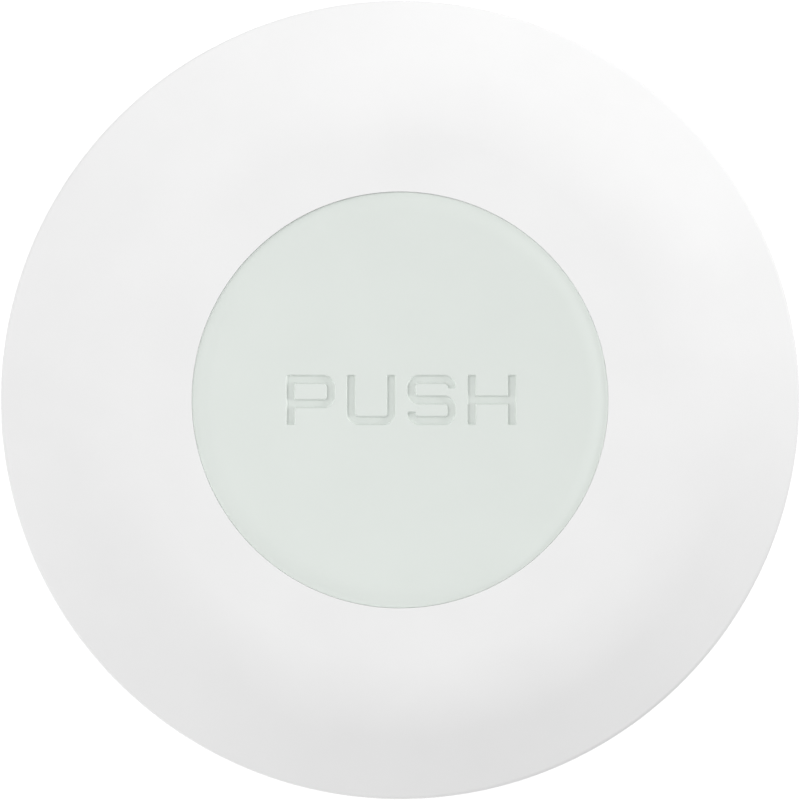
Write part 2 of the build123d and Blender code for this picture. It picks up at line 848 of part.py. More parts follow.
# Battery door: cup round the battery, with a coin slot, a seal groove and helical lugs
door_seal_z = door_face + door_flange_height / 2
door_groove_radius = door_radius - door_seal_groove_depth
door_groove_low = door_seal_z - door_seal_groove_width / 2
door_groove_high = door_seal_z + door_seal_groove_width / 2
with BuildPart() as battery_door:
    with BuildSketch(Plane.XZ):
        with BuildLine():
            Polyline(
                (0, door_face),
                (door_radius, door_face),
                (door_radius, door_groove_low),
                (door_groove_radius, door_groove_low),
                (door_groove_radius, door_groove_high),
                (door_radius, door_groove_high),
                (door_radius, door_flange_top),
                (neck_radius, door_flange_top),
                (neck_radius, neck_top),
                (neck_inner, neck_top),
                (neck_inner, door_floor_top),
                (0, door_floor_top),
                close=True,
            )
        make_face()
    revolve(axis=Axis.Z)
    door_edges = battery_door.edges().filter_by(GeomType.CIRCLE).group_by(Axis.Z)[0]
    chamfer(door_edges, door_flange_clearance * 2)
    for place in range(lug_count):
        lug = helical_band(
            neck_radius - lug_root,
            neck_radius + lug_reach,
            lug_height,
            lug_z,
            -lug_angle / 2,
            lug_angle / 2,
        )
        add(lug.rotate(Axis.Z, place * 360 / lug_count))
    with BuildSketch(Plane.XY.offset(door_face)):
        SlotOverall(coin_slot_length, coin_slot_width)
    extrude(amount=coin_slot_depth, mode=Mode.SUBTRACT)
    with BuildSketch(Plane.XY.offset(door_face)):
        with Locations(polar(door_radius - pointer_inset, -90)):
            RegularPolygon(pointer_size, 3, rotation=-90)
    extrude(amount=mark_depth, mode=Mode.SUBTRACT)
save(battery_door.part, "battery_door")

door_seal_section = (door_bore - door_groove_radius) / 2 - seal_clearance
seal_ring(
    "door_seal",
    (0, 0),
    door_groove_radius + seal_clearance + door_seal_section,
    door_seal_section,
    door_seal_z,
)

with BuildPart() as battery_pad:
    with BuildSketch(Plane.XY.offset(door_floor_top)):
        Circle(battery_radius - battery_pad_inset)
    extrude(amount=battery_pad_thickness)
save(battery_pad.part, "battery_pad")

# Battery: the can faces the door, the smaller cap faces the board
with BuildPart() as coin_battery:
    with BuildSketch(Plane.XZ):
        with BuildLine():
            Polyline(
                (0, battery_bottom),
                (battery_radius, battery_bottom),
                (battery_radius, battery_top - battery_step),
                (battery_radius - battery_cap_inset, battery_top - battery_step),
                (battery_radius - battery_cap_inset, battery_top),
                (0, battery_top),
                close=True,
            )
        make_face()
    revolve(axis=Axis.Z)
    battery_rims = coin_battery.edges().filter_by(GeomType.CIRCLE)
    can_rims = battery_rims.filter_by(lambda edge: edge.radius > battery_radius - battery_cap_inset / 2)
    fillet(can_rims, battery_edge_round)
save(coin_battery.part, "coin_battery")

# Battery contacts: bent strips on the underside of the board
contact_middle = board_bottom - contact_thickness / 2
touch_z = battery_top + contact_thickness / 2 + contact_touch_gap
with BuildPart() as contact_negative:
    with BuildSketch(Plane.XZ.offset(-contact_negative_width / 2)):
        with BuildLine():
            FilletPolyline(
                (-contact_negative_foot, contact_middle),
                (contact_negative_fold, contact_middle),
                (contact_negative_nose, (contact_middle + touch_z) / 2),
                (contact_negative_touch[0], touch_z),
                (contact_negative_touch[1], touch_z),
                (contact_negative_tip, touch_z + 2 * contact_thickness),
                radius=contact_thickness,
            )
        trace(line_width=contact_thickness)
    extrude(amount=contact_negative_width)
save(contact_negative.part, "contact_negative")

side_touch = battery_radius + contact_thickness / 2 + contact_touch_gap
side_touch_z = battery_top - battery_step - battery_edge_round - contact_thickness
with BuildPart() as contact_positive:
    with BuildSketch(Plane.XZ.offset(-contact_positive_width / 2)):
        with BuildLine():
            FilletPolyline(
                (-side_touch - contact_positive_foot, contact_middle),
                (-side_touch - contact_positive_lean, contact_middle),
                (-side_touch, side_touch_z),
                (-side_touch - contact_positive_tip, side_touch_z - 2 * contact_thickness),
                radius=contact_thickness,
            )
        trace(line_width=contact_thickness)
    extrude(amount=contact_positive_width)
save(contact_positive.part, "contact_positive")

# Circuit board, notched round the cover's screw bosses
with BuildPart() as circuit_board:
    with BuildSketch(Plane.XY.offset(board_bottom)):
        Circle(board_radius)
        for angle in screw_angles:
            notch = screw_boss_radius + board_notch_gap
            with Locations(polar(screw_circle, angle)):
                Circle(notch, mode=Mode.SUBTRACT)
            with Locations(Location((*polar(screw_circle + notch, angle), 0), (0, 0, angle))):
                Rectangle(2 * notch, 2 * notch, mode=Mode.SUBTRACT)
        for angle in board_post_angles:
            with Locations(polar(board_post_circle, angle)):
                Circle(board_hole_radius, mode=Mode.SUBTRACT)
        with Locations(buzzer_place):
            with GridLocations(0, buzzer_pin_spacing, 1, 2):
                Circle(buzzer_pin_hole, mode=Mode.SUBTRACT)
    extrude(amount=board_thickness)
save(circuit_board.part, "circuit_board")

board_screw_top = board_top + board_screw_head_height
board_screw_crown = board_screw_head_height * head_crown_share
with BuildPart() as board_screws:
    for angle in board_post_angles:
        place = polar(board_post_circle, angle)
        with BuildSketch(upright(place)):
            with BuildLine():
                Polyline(
                    (0, board_screw_top),
                    (board_screw_head_radius * head_flat_share, board_screw_top),
                    (board_screw_head_radius, board_screw_top - board_screw_crown),
                    (board_screw_head_radius, board_top),
                    (board_screw_core, board_top),
                    (board_screw_core, board_top - board_screw_length),
                    (0, board_top - board_screw_length - board_screw_core),
                    close=True,
                )
            make_face()
        revolve(axis=axis_at(place))
        with BuildSketch(Plane.XY.offset(board_screw_top - board_slot_depth)):
            with Locations(place):
                Rectangle(board_slot_length, board_slot_width)
                Rectangle(board_slot_width, board_slot_length)
        extrude(amount=board_slot_depth, mode=Mode.SUBTRACT)
save(board_screws.part, "board_screws")

# Switch: body, metal frame and plunger
switch_body_top = board_top + switch_body_height
flange_low = switch_body_top - switch_flange_height
bore_bottom = flange_low - button_travel - switch_floor_gap
with BuildPart() as switch_body:
    with BuildSketch(Plane.XY.offset(board_top)):
        RectangleRounded(switch_side, switch_side, switch_corner)
    extrude(amount=switch_body_height)
    with BuildSketch(Plane.XY.offset(bore_bottom)):
        Circle(switch_flange_radius + switch_bore_clearance)
    extrude(amount=switch_body_top - bore_bottom, mode=Mode.SUBTRACT)
save(switch_body.part, "switch_body")

with BuildPart() as switch_frame:
    with BuildSketch(Plane.XY.offset(switch_body_top)):
        RectangleRounded(switch_side, switch_side, switch_corner)
        Circle(switch_plunger_radius + switch_bore_clearance, mode=Mode.SUBTRACT)
    extrude(amount=switch_frame_thickness)
save(switch_frame.part, "switch_frame")

with BuildPart() as switch_plunger:
    with BuildSketch(Plane.XY.offset(flange_low)):
        Circle(switch_flange_radius)
    extrude(amount=switch_flange_height)
    with BuildSketch(Plane.XY.offset(flange_low)):
        Circle(switch_plunger_radius)
    extrude(amount=plunger_top - flange_low)
    fillet(switch_plunger.edges().group_by(Axis.Z)[-1], switch_flange_height / 2)
save(switch_plunger.part, "switch_plunger")

# Buzzer hung under the board, over the sound ports
buzzer_bottom = board_bottom - buzzer_height
buzzer_ledge_z = buzzer_bottom + buzzer_shell + buzzer_ledge_height
buzzer_cavity = buzzer_radius - buzzer_shell
with BuildPart() as buzzer_case:
    with BuildSketch(upright(buzzer_place)):
        with BuildLine():
            Polyline(
                (buzzer_port_radius, buzzer_bottom),
                (buzzer_radius, buzzer_bottom),
                (buzzer_radius, board_bottom),
                (0, board_bottom),
                (0, board_bottom - buzzer_shell),
                (buzzer_cavity, board_bottom - buzzer_shell),
                (buzzer_cavity, buzzer_ledge_z),
                (buzzer_cavity - buzzer_ledge, buzzer_ledge_z),
                (buzzer_cavity - buzzer_ledge, buzzer_bottom + buzzer_shell),
                (buzzer_port_radius, buzzer_bottom + buzzer_shell),
                close=True,
            )
        make_face()
    revolve(axis=axis_at(buzzer_place))
save(buzzer_case.part, "buzzer_case")

with BuildPart() as buzzer_disc:
    with BuildSketch(Plane.XY.offset(buzzer_ledge_z)):
        with Locations(buzzer_place):
            Circle(buzzer_cavity - buzzer_disc_clearance)
    extrude(amount=buzzer_disc_thickness)
save(buzzer_disc.part, "buzzer_disc")

with BuildPart() as buzzer_pins:
    with BuildSketch(Plane.XY.offset(board_bottom)):
        with Locations(buzzer_place):
            with GridLocations(0, buzzer_pin_spacing, 1, 2):
                Circle(buzzer_pin_radius)
    extrude(amount=buzzer_pin_length)
save(buzzer_pins.part, "buzzer_pins")

membrane_top = base_floor_top + membrane_thickness
with BuildPart() as port_membrane:
    with BuildSketch(Plane.XY.offset(base_floor_top)):
        with Locations(buzzer_place):
            Circle(membrane_radius)
    extrude(amount=membrane_thickness)
save(port_membrane.part, "port_membrane")

with BuildPart() as buzzer_gasket:
    with BuildSketch(Plane.XY.offset(membrane_top)):
        with Locations(buzzer_place):
            Circle(gasket_outer_radius)
            Circle(gasket_inner_radius, mode=Mode.SUBTRACT)
    extrude(amount=buzzer_bottom - membrane_top)
save(buzzer_gasket.part, "buzzer_gasket")

# Radio board with its shield can, and the coiled antenna
with BuildPart() as radio_board:
    with BuildSketch(Plane.XY.offset(board_top)):
        with Locations(radio_place):
            Rectangle(radio_board_size[0], radio_board_size[1])
    extrude(amount=radio_board_size[2])
save(radio_board.part, "radio_board")

radio_top = board_top + radio_board_size[2]
with BuildPart() as radio_shield:
    with BuildSketch(Plane.XY.offset(radio_top)):
        with Locations(radio_place):
            RectangleRounded(radio_can_size[0], radio_can_size[1], radio_can_wall * 2)
    extrude(amount=radio_can_size[2])
    with BuildSketch(Plane.XY.offset(radio_top)):
        with Locations(radio_place):
            Rectangle(radio_can_size[0] - 2 * radio_can_wall, radio_can_size[1] - 2 * radio_can_wall)
    extrude(amount=radio_can_size[2] - radio_can_wall, mode=Mode.SUBTRACT)
save(radio_shield.part, "radio_shield")

antenna_direction = (*polar(1, antenna_turn), 0)
antenna_z = board_top + antenna_lift + antenna_radius + antenna_wire
antenna_middle = Vector(*antenna_place, antenna_z)
coil_spring(
    "antenna_coil",
    antenna_middle - Vector(*antenna_direction) * antenna_length / 2,
    antenna_direction,
    antenna_radius,
    antenna_wire,
    antenna_length,
    round(antenna_length / antenna_pitch),
)

# Other parts soldered on the board
for name, place, size in (
    ("controller_chip", chip_place, chip_size),
    ("crystal", crystal_place, crystal_size),
    ("storage_capacitor", capacitor_place, capacitor_size),
):
    with BuildPart() as soldered:
        with BuildSketch(Plane.XY.offset(board_top)):
            with Locations(place):
                Rectangle(size[0], size[1])
        extrude(amount=size[2])
        chamfer(soldered.edges().group_by(Axis.Z)[-1], size[2] / 8)
    save(soldered.part, name)

with BuildPart() as buzzer_coil:
    with BuildSketch(upright(coil_place)):
        with BuildLine():
            Polyline(
                (0, board_top),
                (coil_radius, board_top),
                (coil_radius, board_top + coil_flange),
                (coil_waist, board_top + coil_flange),
                (coil_waist, board_top + coil_height - coil_flange),
                (coil_radius, board_top + coil_height - coil_flange),
                (coil_radius, board_top + coil_height),
                (0, board_top + coil_height),
                close=True,
            )
        make_face()
    revolve(axis=axis_at(coil_place))
save(buzzer_coil.part, "buzzer_coil")

with BuildPart() as small_components:
    with BuildSketch(Plane.XY.offset(board_top)):
        for place in small_grid_places:
            with Locations(place):
                with GridLocations(small_grid_pitch, 0, small_grid_count, 1):
                    Rectangle(small_size[0], small_size[1])
    extrude(amount=small_size[2])
save(small_components.part, "small_components")

# Probes: headed metal pins, each with its seal, clip and contact spring
for number, angle in enumerate(probe_angles, start=1):
    place = polar(probe_circle, angle)
    with BuildPart() as probe:
        with BuildSketch(upright(place)):
            with BuildLine():
                tip_line = Line((0, 0), (probe_tip_radius, 0))
                dome = RadiusArc(
                    tip_line @ 1,
                    (probe_head_radius, base_bottom - probe_head_rim),
                    -probe_head_radius,
                )
                Polyline(
                    dome @ 1,
                    (probe_head_radius, base_bottom),
                    (probe_shank_radius, base_bottom),
                    (probe_shank_radius, probe_shank_top),
                    (0, probe_shank_top),
                    (0, 0),
                )
            make_face()
        revolve(axis=axis_at(place))
    save(probe.part, f"probe_{number}")

    seal_ring(
        f"probe_seal_{number}",
        place,
        probe_hole + probe_seal_section,
        probe_seal_section,
        base_bottom + probe_seal_section,
    )

    with BuildPart() as probe_clip:
        with BuildSketch(Plane.XY.offset(probe_boss_top)):
            with Locations(place):
                Circle(probe_clip_radius)
                Circle(probe_hole, mode=Mode.SUBTRACT)
                with PolarLocations(probe_hole, 6, start_angle=30):
                    Rectangle(probe_hole / 2, probe_hole / 4, mode=Mode.SUBTRACT)
        extrude(amount=probe_clip_thickness)
    save(probe_clip.part, f"probe_clip_{number}")

    with BuildPart() as probe_pad:
        with BuildSketch(Plane.XY.offset(board_bottom - probe_pad_thickness)):
            with Locations(place):
                Circle(probe_pad_radius)
        extrude(amount=probe_pad_thickness)
    save(probe_pad.part, f"probe_pad_{number}")

    coil_spring(
        f"probe_spring_{number}",
        (*place, probe_shank_top),
        (0, 0, 1),
        probe_spring_radius,
        probe_spring_wire,
        board_bottom - probe_pad_thickness - probe_shank_top,
        probe_spring_turns,
    )
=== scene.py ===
"""Looks of a round water leak sensor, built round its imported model.

Lengths in this script are millimetres, as on a maker's drawing, and a piece is turned into metres
when it is handed over to the scene. +Z is up, out through the press disc, and +Y is the way the
lettering on that disc points up. Turned pieces are lathed from a profile, and what repeats round
the sensor's axis is placed by a radial array.
"""

import json
import logging
import math
from dataclasses import dataclass, field, replace
from enum import Enum
from typing import Optional

import bmesh
import bpy
import numpy as np
from mathutils import Matrix, Vector
from mathutils.geometry import delaunay_2d_cdt


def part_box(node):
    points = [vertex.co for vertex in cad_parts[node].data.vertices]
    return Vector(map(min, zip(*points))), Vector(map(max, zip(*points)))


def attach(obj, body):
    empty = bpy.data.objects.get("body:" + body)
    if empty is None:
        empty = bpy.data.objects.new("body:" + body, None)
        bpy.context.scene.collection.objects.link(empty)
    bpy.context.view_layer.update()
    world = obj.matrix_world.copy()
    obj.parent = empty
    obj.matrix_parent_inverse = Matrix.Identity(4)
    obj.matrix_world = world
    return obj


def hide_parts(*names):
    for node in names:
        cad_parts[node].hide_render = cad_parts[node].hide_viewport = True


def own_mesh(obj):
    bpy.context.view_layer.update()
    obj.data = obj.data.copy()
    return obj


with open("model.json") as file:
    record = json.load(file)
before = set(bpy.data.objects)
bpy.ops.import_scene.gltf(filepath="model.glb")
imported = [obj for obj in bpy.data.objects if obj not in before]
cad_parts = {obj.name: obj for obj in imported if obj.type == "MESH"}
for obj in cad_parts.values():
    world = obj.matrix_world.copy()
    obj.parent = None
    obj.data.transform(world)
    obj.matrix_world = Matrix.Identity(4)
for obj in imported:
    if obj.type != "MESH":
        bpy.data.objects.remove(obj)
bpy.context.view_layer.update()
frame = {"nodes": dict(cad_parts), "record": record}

log = logging.getLogger("leak_sensor")

MM = 0.001
LATHE_RADIUS = 10.0  # radius of the circle that a profile is carried round
ARC_STEP = math.radians(11.0)  # of a rounded corner
MERGE_GAP = 0.0005
SHARP_ANGLE = math.radians(32.0)
QUARTER = math.pi / 2
FAR = 9.0  # distance that counts as away from everything
OVERRUN = 0.5  # that a tool stands out of what it cuts
OWN_PLACE = "own_place"  # attribute: a point's place on its own piece, before it is arrayed

Point = tuple[float, float]
Corner = tuple[float, float, float]
Profile = list[Point]
Colour = tuple[float, float, float]
Piece = bpy.types.Object
Socket = bpy.types.NodeSocket
Listed = bpy.types.Collection


class Body(Enum):
    """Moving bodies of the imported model."""

    HOUSING = "housing"
    BUTTON = "button"
    DOOR = "door"


class Cut(Enum):
    """What a tool does to a piece."""

    REMOVE = "DIFFERENCE"
    JOIN = "UNION"


class Lay(Enum):
    """Direction of the fine lines that making a metal piece leaves on it."""

    TURNED = "turned"
    ROLLED = "rolled"
    PLATED = "plated"


class Reach(Enum):
    """Which pieces a light deals with: only the listed one, or all but that one."""

    ONLY = "INCLUDE"
    ALL_BUT = "EXCLUDE"


def span(node: str) -> tuple[Vector, Vector]:
    """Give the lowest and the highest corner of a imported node's box."""
    low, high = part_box(node)
    return low / MM, high / MM


def polar(circle: float, angle: float) -> Point:
    """Give a point of the plan by its distance from the axis and its angle in degrees from +X."""
    return circle * math.cos(math.radians(angle)), circle * math.sin(math.radians(angle))


def arc(centre: Point, radius: float, start: float, end: float, count: int) -> Profile:
    """Draw an arc in a number of steps between two angles in radians, both ends included."""
    angles = [start + (end - start) * step / count for step in range(count + 1)]
    return [(centre[0] + radius * math.cos(a), centre[1] + radius * math.sin(a)) for a in angles]


def rounded(corners: list[Corner], closed: bool = True) -> Profile:
    """Draw an outline through corners, each rounded by its own radius.

    Args:
        corners: Distance from the axis, height and rounding of each corner.
        closed: Whether the last corner joins the first.

    Returns:
        The points of the outline.
    """
    outline: Profile = []
    for place, (x, y, radius) in enumerate(corners):
        inner = closed or 0 < place < len(corners) - 1
        if radius <= 0 or not inner:
            outline.append((x, y))
            continue
        corner = Vector((x, y))
        before = (Vector(corners[place - 1][:2]) - corner).normalized()
        after = (Vector(corners[(place + 1) % len(corners)][:2]) - corner).normalized()
        half = before.angle(after) / 2
        centre = corner + (before + after).normalized() * radius / math.sin(half)
        start = corner + before * radius / math.tan(half) - centre
        turn = start.angle_signed(corner + after * radius / math.tan(half) - centre)
        steps = max(2, math.ceil(abs(turn) / ARC_STEP))
        first = math.atan2(start.y, start.x)
        outline += arc(tuple(centre), radius, first, first - turn, steps)
    return outline


def cross(reach: float, half: float) -> Profile:
    """Draw a cross in the plan, by the reach of its arms and half their width."""
    arm = [Vector(corner) for corner in ((reach, -half), (reach, half), (half, half))]
    return [tuple(Matrix.Rotation(QUARTER * turn, 2) @ p) for turn in range(4) for p in arm]


def stadium(length: float, width: float, grow: float) -> Profile:
    """Draw a slot with round ends along X.

    Args:
        length: Its overall length.
        width: Its width.
        grow: Amount that it is widened by all round.

    Returns:
        The points of its outline.
    """
    reach, radius = (length - width) / 2, width / 2 + grow
    right = arc((reach, 0.0), radius, -QUARTER, QUARTER, 20)
    return right + arc((-reach, 0.0), radius, QUARTER, 3 * QUARTER, 20)


def level_ring(outline: Profile, height: float) -> list[Vector]:
    """Lift an outline of the plan to a height."""
    return [Vector((x, y, height)) for x, y in outline]


def object_from(mesh: bpy.types.Mesh) -> Piece:
    """Put a mesh in the scene.

    Args:
        mesh: The mesh.

    Returns:
        Its object, under the mesh's name.
    """
    made = bpy.data.objects.new(mesh.name, mesh)
    bpy.context.scene.collection.objects.link(made)
    return made


def mesh_from(name: str, points: list, edges: list, faces: list) -> bpy.types.Mesh:
    """Make a mesh.

    Args:
        name: Its name.
        points: Its points.
        edges: Its loose edges.
        faces: Its faces, as rows of point numbers.

    Returns:
        The mesh.
    """
    mesh = bpy.data.meshes.new(name)
    mesh.from_pydata([tuple(p) for p in points], edges, faces)
    return mesh


def face_outwards(mesh: bpy.types.Mesh) -> None:
    """Turn the faces of a closed mesh outwards.

    Args:
        mesh: The mesh.
    """
    work = bmesh.new()
    work.from_mesh(mesh)
    bmesh.ops.recalc_face_normals(work, faces=work.faces)
    work.to_mesh(mesh)
    work.free()


def settle(made: Piece) -> Piece:
    """Replace an object's mesh with what its modifiers make of it, and remove them.

    Args:
        made: The object.

    Returns:
        The same object.
    """
    bpy.context.view_layer.update()
    shown = bpy.context.evaluated_depsgraph_get()
    plain = bpy.data.meshes.new_from_object(made.evaluated_get(shown), depsgraph=shown)
    made.modifiers.clear()
    made.data = plain
    return made


class Graph:
    """Node tree that is put together from calls."""

    def __init__(self, tree: bpy.types.NodeTree) -> None:
        """Take a node tree and empty it."""
        self.tree = tree
        tree.nodes.clear()

    def feed(self, socket: Socket, value: object) -> None:
        """Set a socket to a value, or join an output socket to it.

        Args:
            socket: The socket.
            value: The value or the output socket.
        """
        if isinstance(value, Socket):
            self.tree.links.new(value, socket)
        else:
            socket.default_value = value

    def add(self, kind: str, *values: object, **named: object) -> bpy.types.Node:
        """Add a node.

        Args:
            kind: Its type.
            *values: A value or an output socket for each of its first inputs, in order.
            **named: Its settings in lower case, and inputs by their names with _ for spaces.

        Returns:
            The node.
        """
        node = self.tree.nodes.new(kind)
        for label in [label for label in named if label[0].islower()]:
            setattr(node, label, named.pop(label))
        for socket, value in zip(node.inputs, values):
            self.feed(socket, value)
        for label, value in named.items():
            self.feed(node.inputs[label.replace("_", " ")], value)
        return node

    def out(self, kind: str, *values: object, **named: object) -> Socket:
        """Add a node, as add does, and give its first output."""
        return self.add(kind, *values, **named).outputs[0]

    def sum(self, operation: str, first: object, second: object = 0.0) -> Socket:
        """Work out a number by a Math node's operation, from values or sockets."""
        return self.out("ShaderNodeMath", first, second, operation=operation)


class Tree(Graph):
    """Geometry Nodes group with named inputs, which ends in plain faces with one material."""

    def __init__(self, name: str, **inputs: str) -> None:
        """Start a group.

        Args:
            name: Name of the group.
            **inputs: Kind of socket of each input besides the geometry, by its name.
        """
        super().__init__(bpy.data.node_groups.new(name, "GeometryNodeTree"))
        kinds = {"Geometry": "Geometry", **inputs, "Finish": "Material"}
        rows = [(label.replace("_", " "), kind, "INPUT") for label, kind in kinds.items()]
        for label, kind, way in rows + [("Geometry", "Geometry", "OUTPUT")]:
            self.tree.interface.new_socket(label, in_out=way, socket_type="NodeSocket" + kind)
        self.given = self.add("NodeGroupInput").outputs

    def close(self, geometry: Socket) -> None:
        """End the group in real faces with the given material.

        Args:
            geometry: Socket of what was made.
        """
        smooth = self.out("GeometryNodeSetShadeSmooth", geometry)
        real = self.out("GeometryNodeRealizeInstances", smooth)
        finish = self.given["Finish"]
        dressed = self.out("GeometryNodeSetMaterial", Geometry=real, Material=finish)
        self.add("NodeGroupOutput", dressed)

    def run(self, mesh: bpy.types.Mesh, **inputs: object) -> Piece:
        """Run the group on a mesh.

        Args:
            mesh: What the group is given.
            **inputs: Value of each input, by its name with _ for spaces.

        Returns:
            An object whose plain mesh holds the result.
        """
        made = object_from(mesh)
        modifier = made.modifiers.new("nodes", "NODES")
        modifier.node_group = self.tree
        names = {label.replace("_", " "): value for label, value in inputs.items()}
        for item in self.tree.interface.items_tree:
            if item.in_out == "INPUT" and item.name in names:
                modifier[item.identifier] = names[item.name]
        return settle(made)


def lathe_tree() -> Tree:
    """Make the group that turns a profile round the sensor's axis.

    Returns:
        The group.
    """
    tree = Tree("lathe", Segments="Int", Circle="Float")
    profile = tree.out("GeometryNodeMeshToCurve", tree.given["Geometry"])
    path = tree.out(
        "GeometryNodeCurvePrimitiveCircle",
        Resolution=tree.given["Segments"],
        Radius=tree.given["Circle"],
    )
    turned = tree.out("GeometryNodeCurveToMesh", Curve=path, Profile_Curve=profile)
    tree.close(tree.out("GeometryNodeMergeByDistance", Geometry=turned, Distance=MERGE_GAP))
    return tree


def array_tree() -> Tree:
    """Make the group that repeats a piece round the sensor's axis, each at a turn of its own.

    Returns:
        The group.
    """
    tree = Tree(
        "radial_array", Count="Int", Circle="Float", First_Angle="Float", Own_Turn="Float", Seed="Int"
    )
    given = tree.given
    kept = tree.out(
        "GeometryNodeStoreNamedAttribute",
        data_type="FLOAT_VECTOR",
        Geometry=given["Geometry"],
        Name=OWN_PLACE,
        Value=tree.out("GeometryNodeInputPosition"),
    )
    pitch = tree.sum("DIVIDE", math.tau, given["Count"])
    number = tree.out("GeometryNodeInputIndex")
    angle = tree.sum("ADD", tree.sum("MULTIPLY", number, pitch), given["First Angle"])
    sides = [tree.sum(side, angle) for side in ("COSINE", "SINE")]
    place = [tree.sum("MULTIPLY", side, given["Circle"]) for side in sides]
    places = tree.out("ShaderNodeCombineXYZ", *place)
    points = tree.out("GeometryNodePoints", Count=given["Count"], Position=places)
    chance = tree.add("FunctionNodeRandomValue", data_type="FLOAT", Seed=given["Seed"])
    drawn = next(s for s in chance.outputs if s.type == "VALUE")
    turn = tree.sum("ADD", angle, tree.sum("MULTIPLY", drawn, given["Own Turn"]))
    turns = tree.out("ShaderNodeCombineXYZ", Z=turn)
    tree.close(
        tree.out("GeometryNodeInstanceOnPoints", Points=points, Instance=kept, Rotation=turns)
    )
    return tree


def coil_tree() -> Tree:
    """Make the group that winds a coil of round wire up the sensor's axis.

    Returns:
        The group.
    """
    tree = Tree(
        "coil", Turns="Float", Coil_Radius="Float", Wire_Radius="Float", Rise="Float", Start="Vector"
    )
    given = tree.given
    steps_a_turn, flats_of_wire = 48, 16
    path = tree.out(
        "GeometryNodeCurveSpiral",
        Resolution=steps_a_turn,
        Rotations=given["Turns"],
        Start_Radius=given["Coil Radius"],
        End_Radius=given["Coil Radius"],
        Height=given["Rise"],
    )
    lifted = tree.out("GeometryNodeSetPosition", Geometry=path, Offset=given["Start"])
    section = tree.out(
        "GeometryNodeCurvePrimitiveCircle", Resolution=flats_of_wire, Radius=given["Wire Radius"]
    )
    tree.close(
        tree.out("GeometryNodeCurveToMesh", Curve=lifted, Profile_Curve=section, Fill_Caps=True)
    )
    return tree


@dataclass
class Workshop:
    """Tools that every piece is made with."""

    lathe: Tree = field(default_factory=lathe_tree)
    array: Tree = field(default_factory=array_tree)
    coil: Tree = field(default_factory=coil_tree)

    def turn(self, name: str, profile: Profile, segments: int, closed: bool = True) -> Piece:
        """Lathe a profile round the axis.

        Args:
            name: Name of the piece.
            profile: Its points, as distance from the axis and height.
            segments: Number of flats round the piece.
            closed: Whether the profile is a loop; if not, both ends stand on the axis.

        Returns:
            The piece.
        """
        points = [(radius - LATHE_RADIUS, -height, 0.0) for radius, height in profile]
        edges = [(place, place + 1) for place in range(len(points) - 1)]
        if closed:
            edges.append((len(points) - 1, 0))
        mesh = mesh_from(name, points, edges, [])
        made = self.lathe.run(mesh, Segments=segments, Circle=LATHE_RADIUS)
        face_outwards(made.data)
        return made

    def repeat(
        self,
        piece: Piece,
        circle: float,
        first_angle: float = 0.0,
        count: int = 3,
        own_turn: float = 0.0,
        seed: int = 7,
    ) -> Piece:
        """Repeat a piece that stands on the axis, round a circle.

        Args:
            piece: The piece, which the result replaces.
            circle: Radius of the circle.
            first_angle: Place of the first one, in degrees from +X.
            count: Number of pieces.
            own_turn: Most that a piece is turned by chance about its own axis, in degrees.
            seed: Seed of that chance.

        Returns:
            One object that holds them all.
        """
        mesh = piece.data
        bpy.data.objects.remove(piece)
        return self.array.run(
            mesh,
            Count=count,
            Circle=circle,
            First_Angle=math.radians(first_angle),
            Own_Turn=math.radians(own_turn),
            Seed=seed,
        )

    def work(self, piece: Piece, tool: Piece, cut: Cut) -> None:
        """Cut a tool out of a piece, or join it on, and remove the tool.

        Args:
            piece: The piece.
            tool: The tool.
            cut: What is done.
        """
        modifier = piece.modifiers.new("cut", "BOOLEAN")
        modifier.operation = cut.value
        modifier.solver = "EXACT"
        modifier.object = tool
        settle(piece)
        bpy.data.objects.remove(tool)


shop = Workshop()


def loft(name: str, rings: list[list[Vector]]) -> Piece:
    """Make a closed solid through rings of equally many points.

    Args:
        name: Name of the solid.
        rings: Its rings, in order; the first and the last are filled.

    Returns:
        The solid.
    """
    count = len(rings[0])
    faces = [list(range(count)), list(range((len(rings) - 1) * count, len(rings) * count))]
    for ring in range(len(rings) - 1):
        for place in range(count):
            nearby = (place + 1) % count
            low, high = ring * count, (ring + 1) * count
            faces.append([low + place, low + nearby, high + nearby, high + place])
    mesh = mesh_from(name, [point for ring in rings for point in ring], [], faces)
    face_outwards(mesh)
    return object_from(mesh)


def bore(
    name: str, radius: float, face: float, depth: float, flare: float, segments: int = 64
) -> Piece:
    """Make the tool that bores a hole upwards from a face and rounds the hole's mouth.

    Args:
        name: Name of the tool.
        radius: Radius of the hole.
        face: Height of the face.
        depth: Depth of the hole.
        flare: Rounding of the mouth.
        segments: Number of flats round the hole.

    Returns:
        The tool, on the axis.
    """
    clear, entry = 0.05, math.radians(10.0)
    mouth = arc((radius + flare, face + flare), flare, -QUARTER - entry, -math.pi, 7)
    slip = (flare * (1 - math.cos(entry)) + clear) / math.tan(entry)
    outer = (mouth[0][0] + slip, face - clear)
    below = face - 2 * OVERRUN
    profile = [(0.0, below), (outer[0], below), outer, *mouth]
    profile += [(radius, face + depth), (0.0, face + depth)]
    return shop.turn(name, profile, segments, closed=False)


def plain_rod(name: str, radius: float, low: float, high: float) -> Piece:
    """Make a round tool on the axis between two heights."""
    profile = [(0.0, low), (radius, low), (radius, high), (0.0, high)]
    return shop.turn(name, profile, 64, closed=False)


def moved(piece: Piece, place: Point) -> Piece:
    """Shift a piece in the plan, in its mesh."""
    piece.data.transform(Matrix.Translation((place[0], place[1], 0.0)))
    return piece


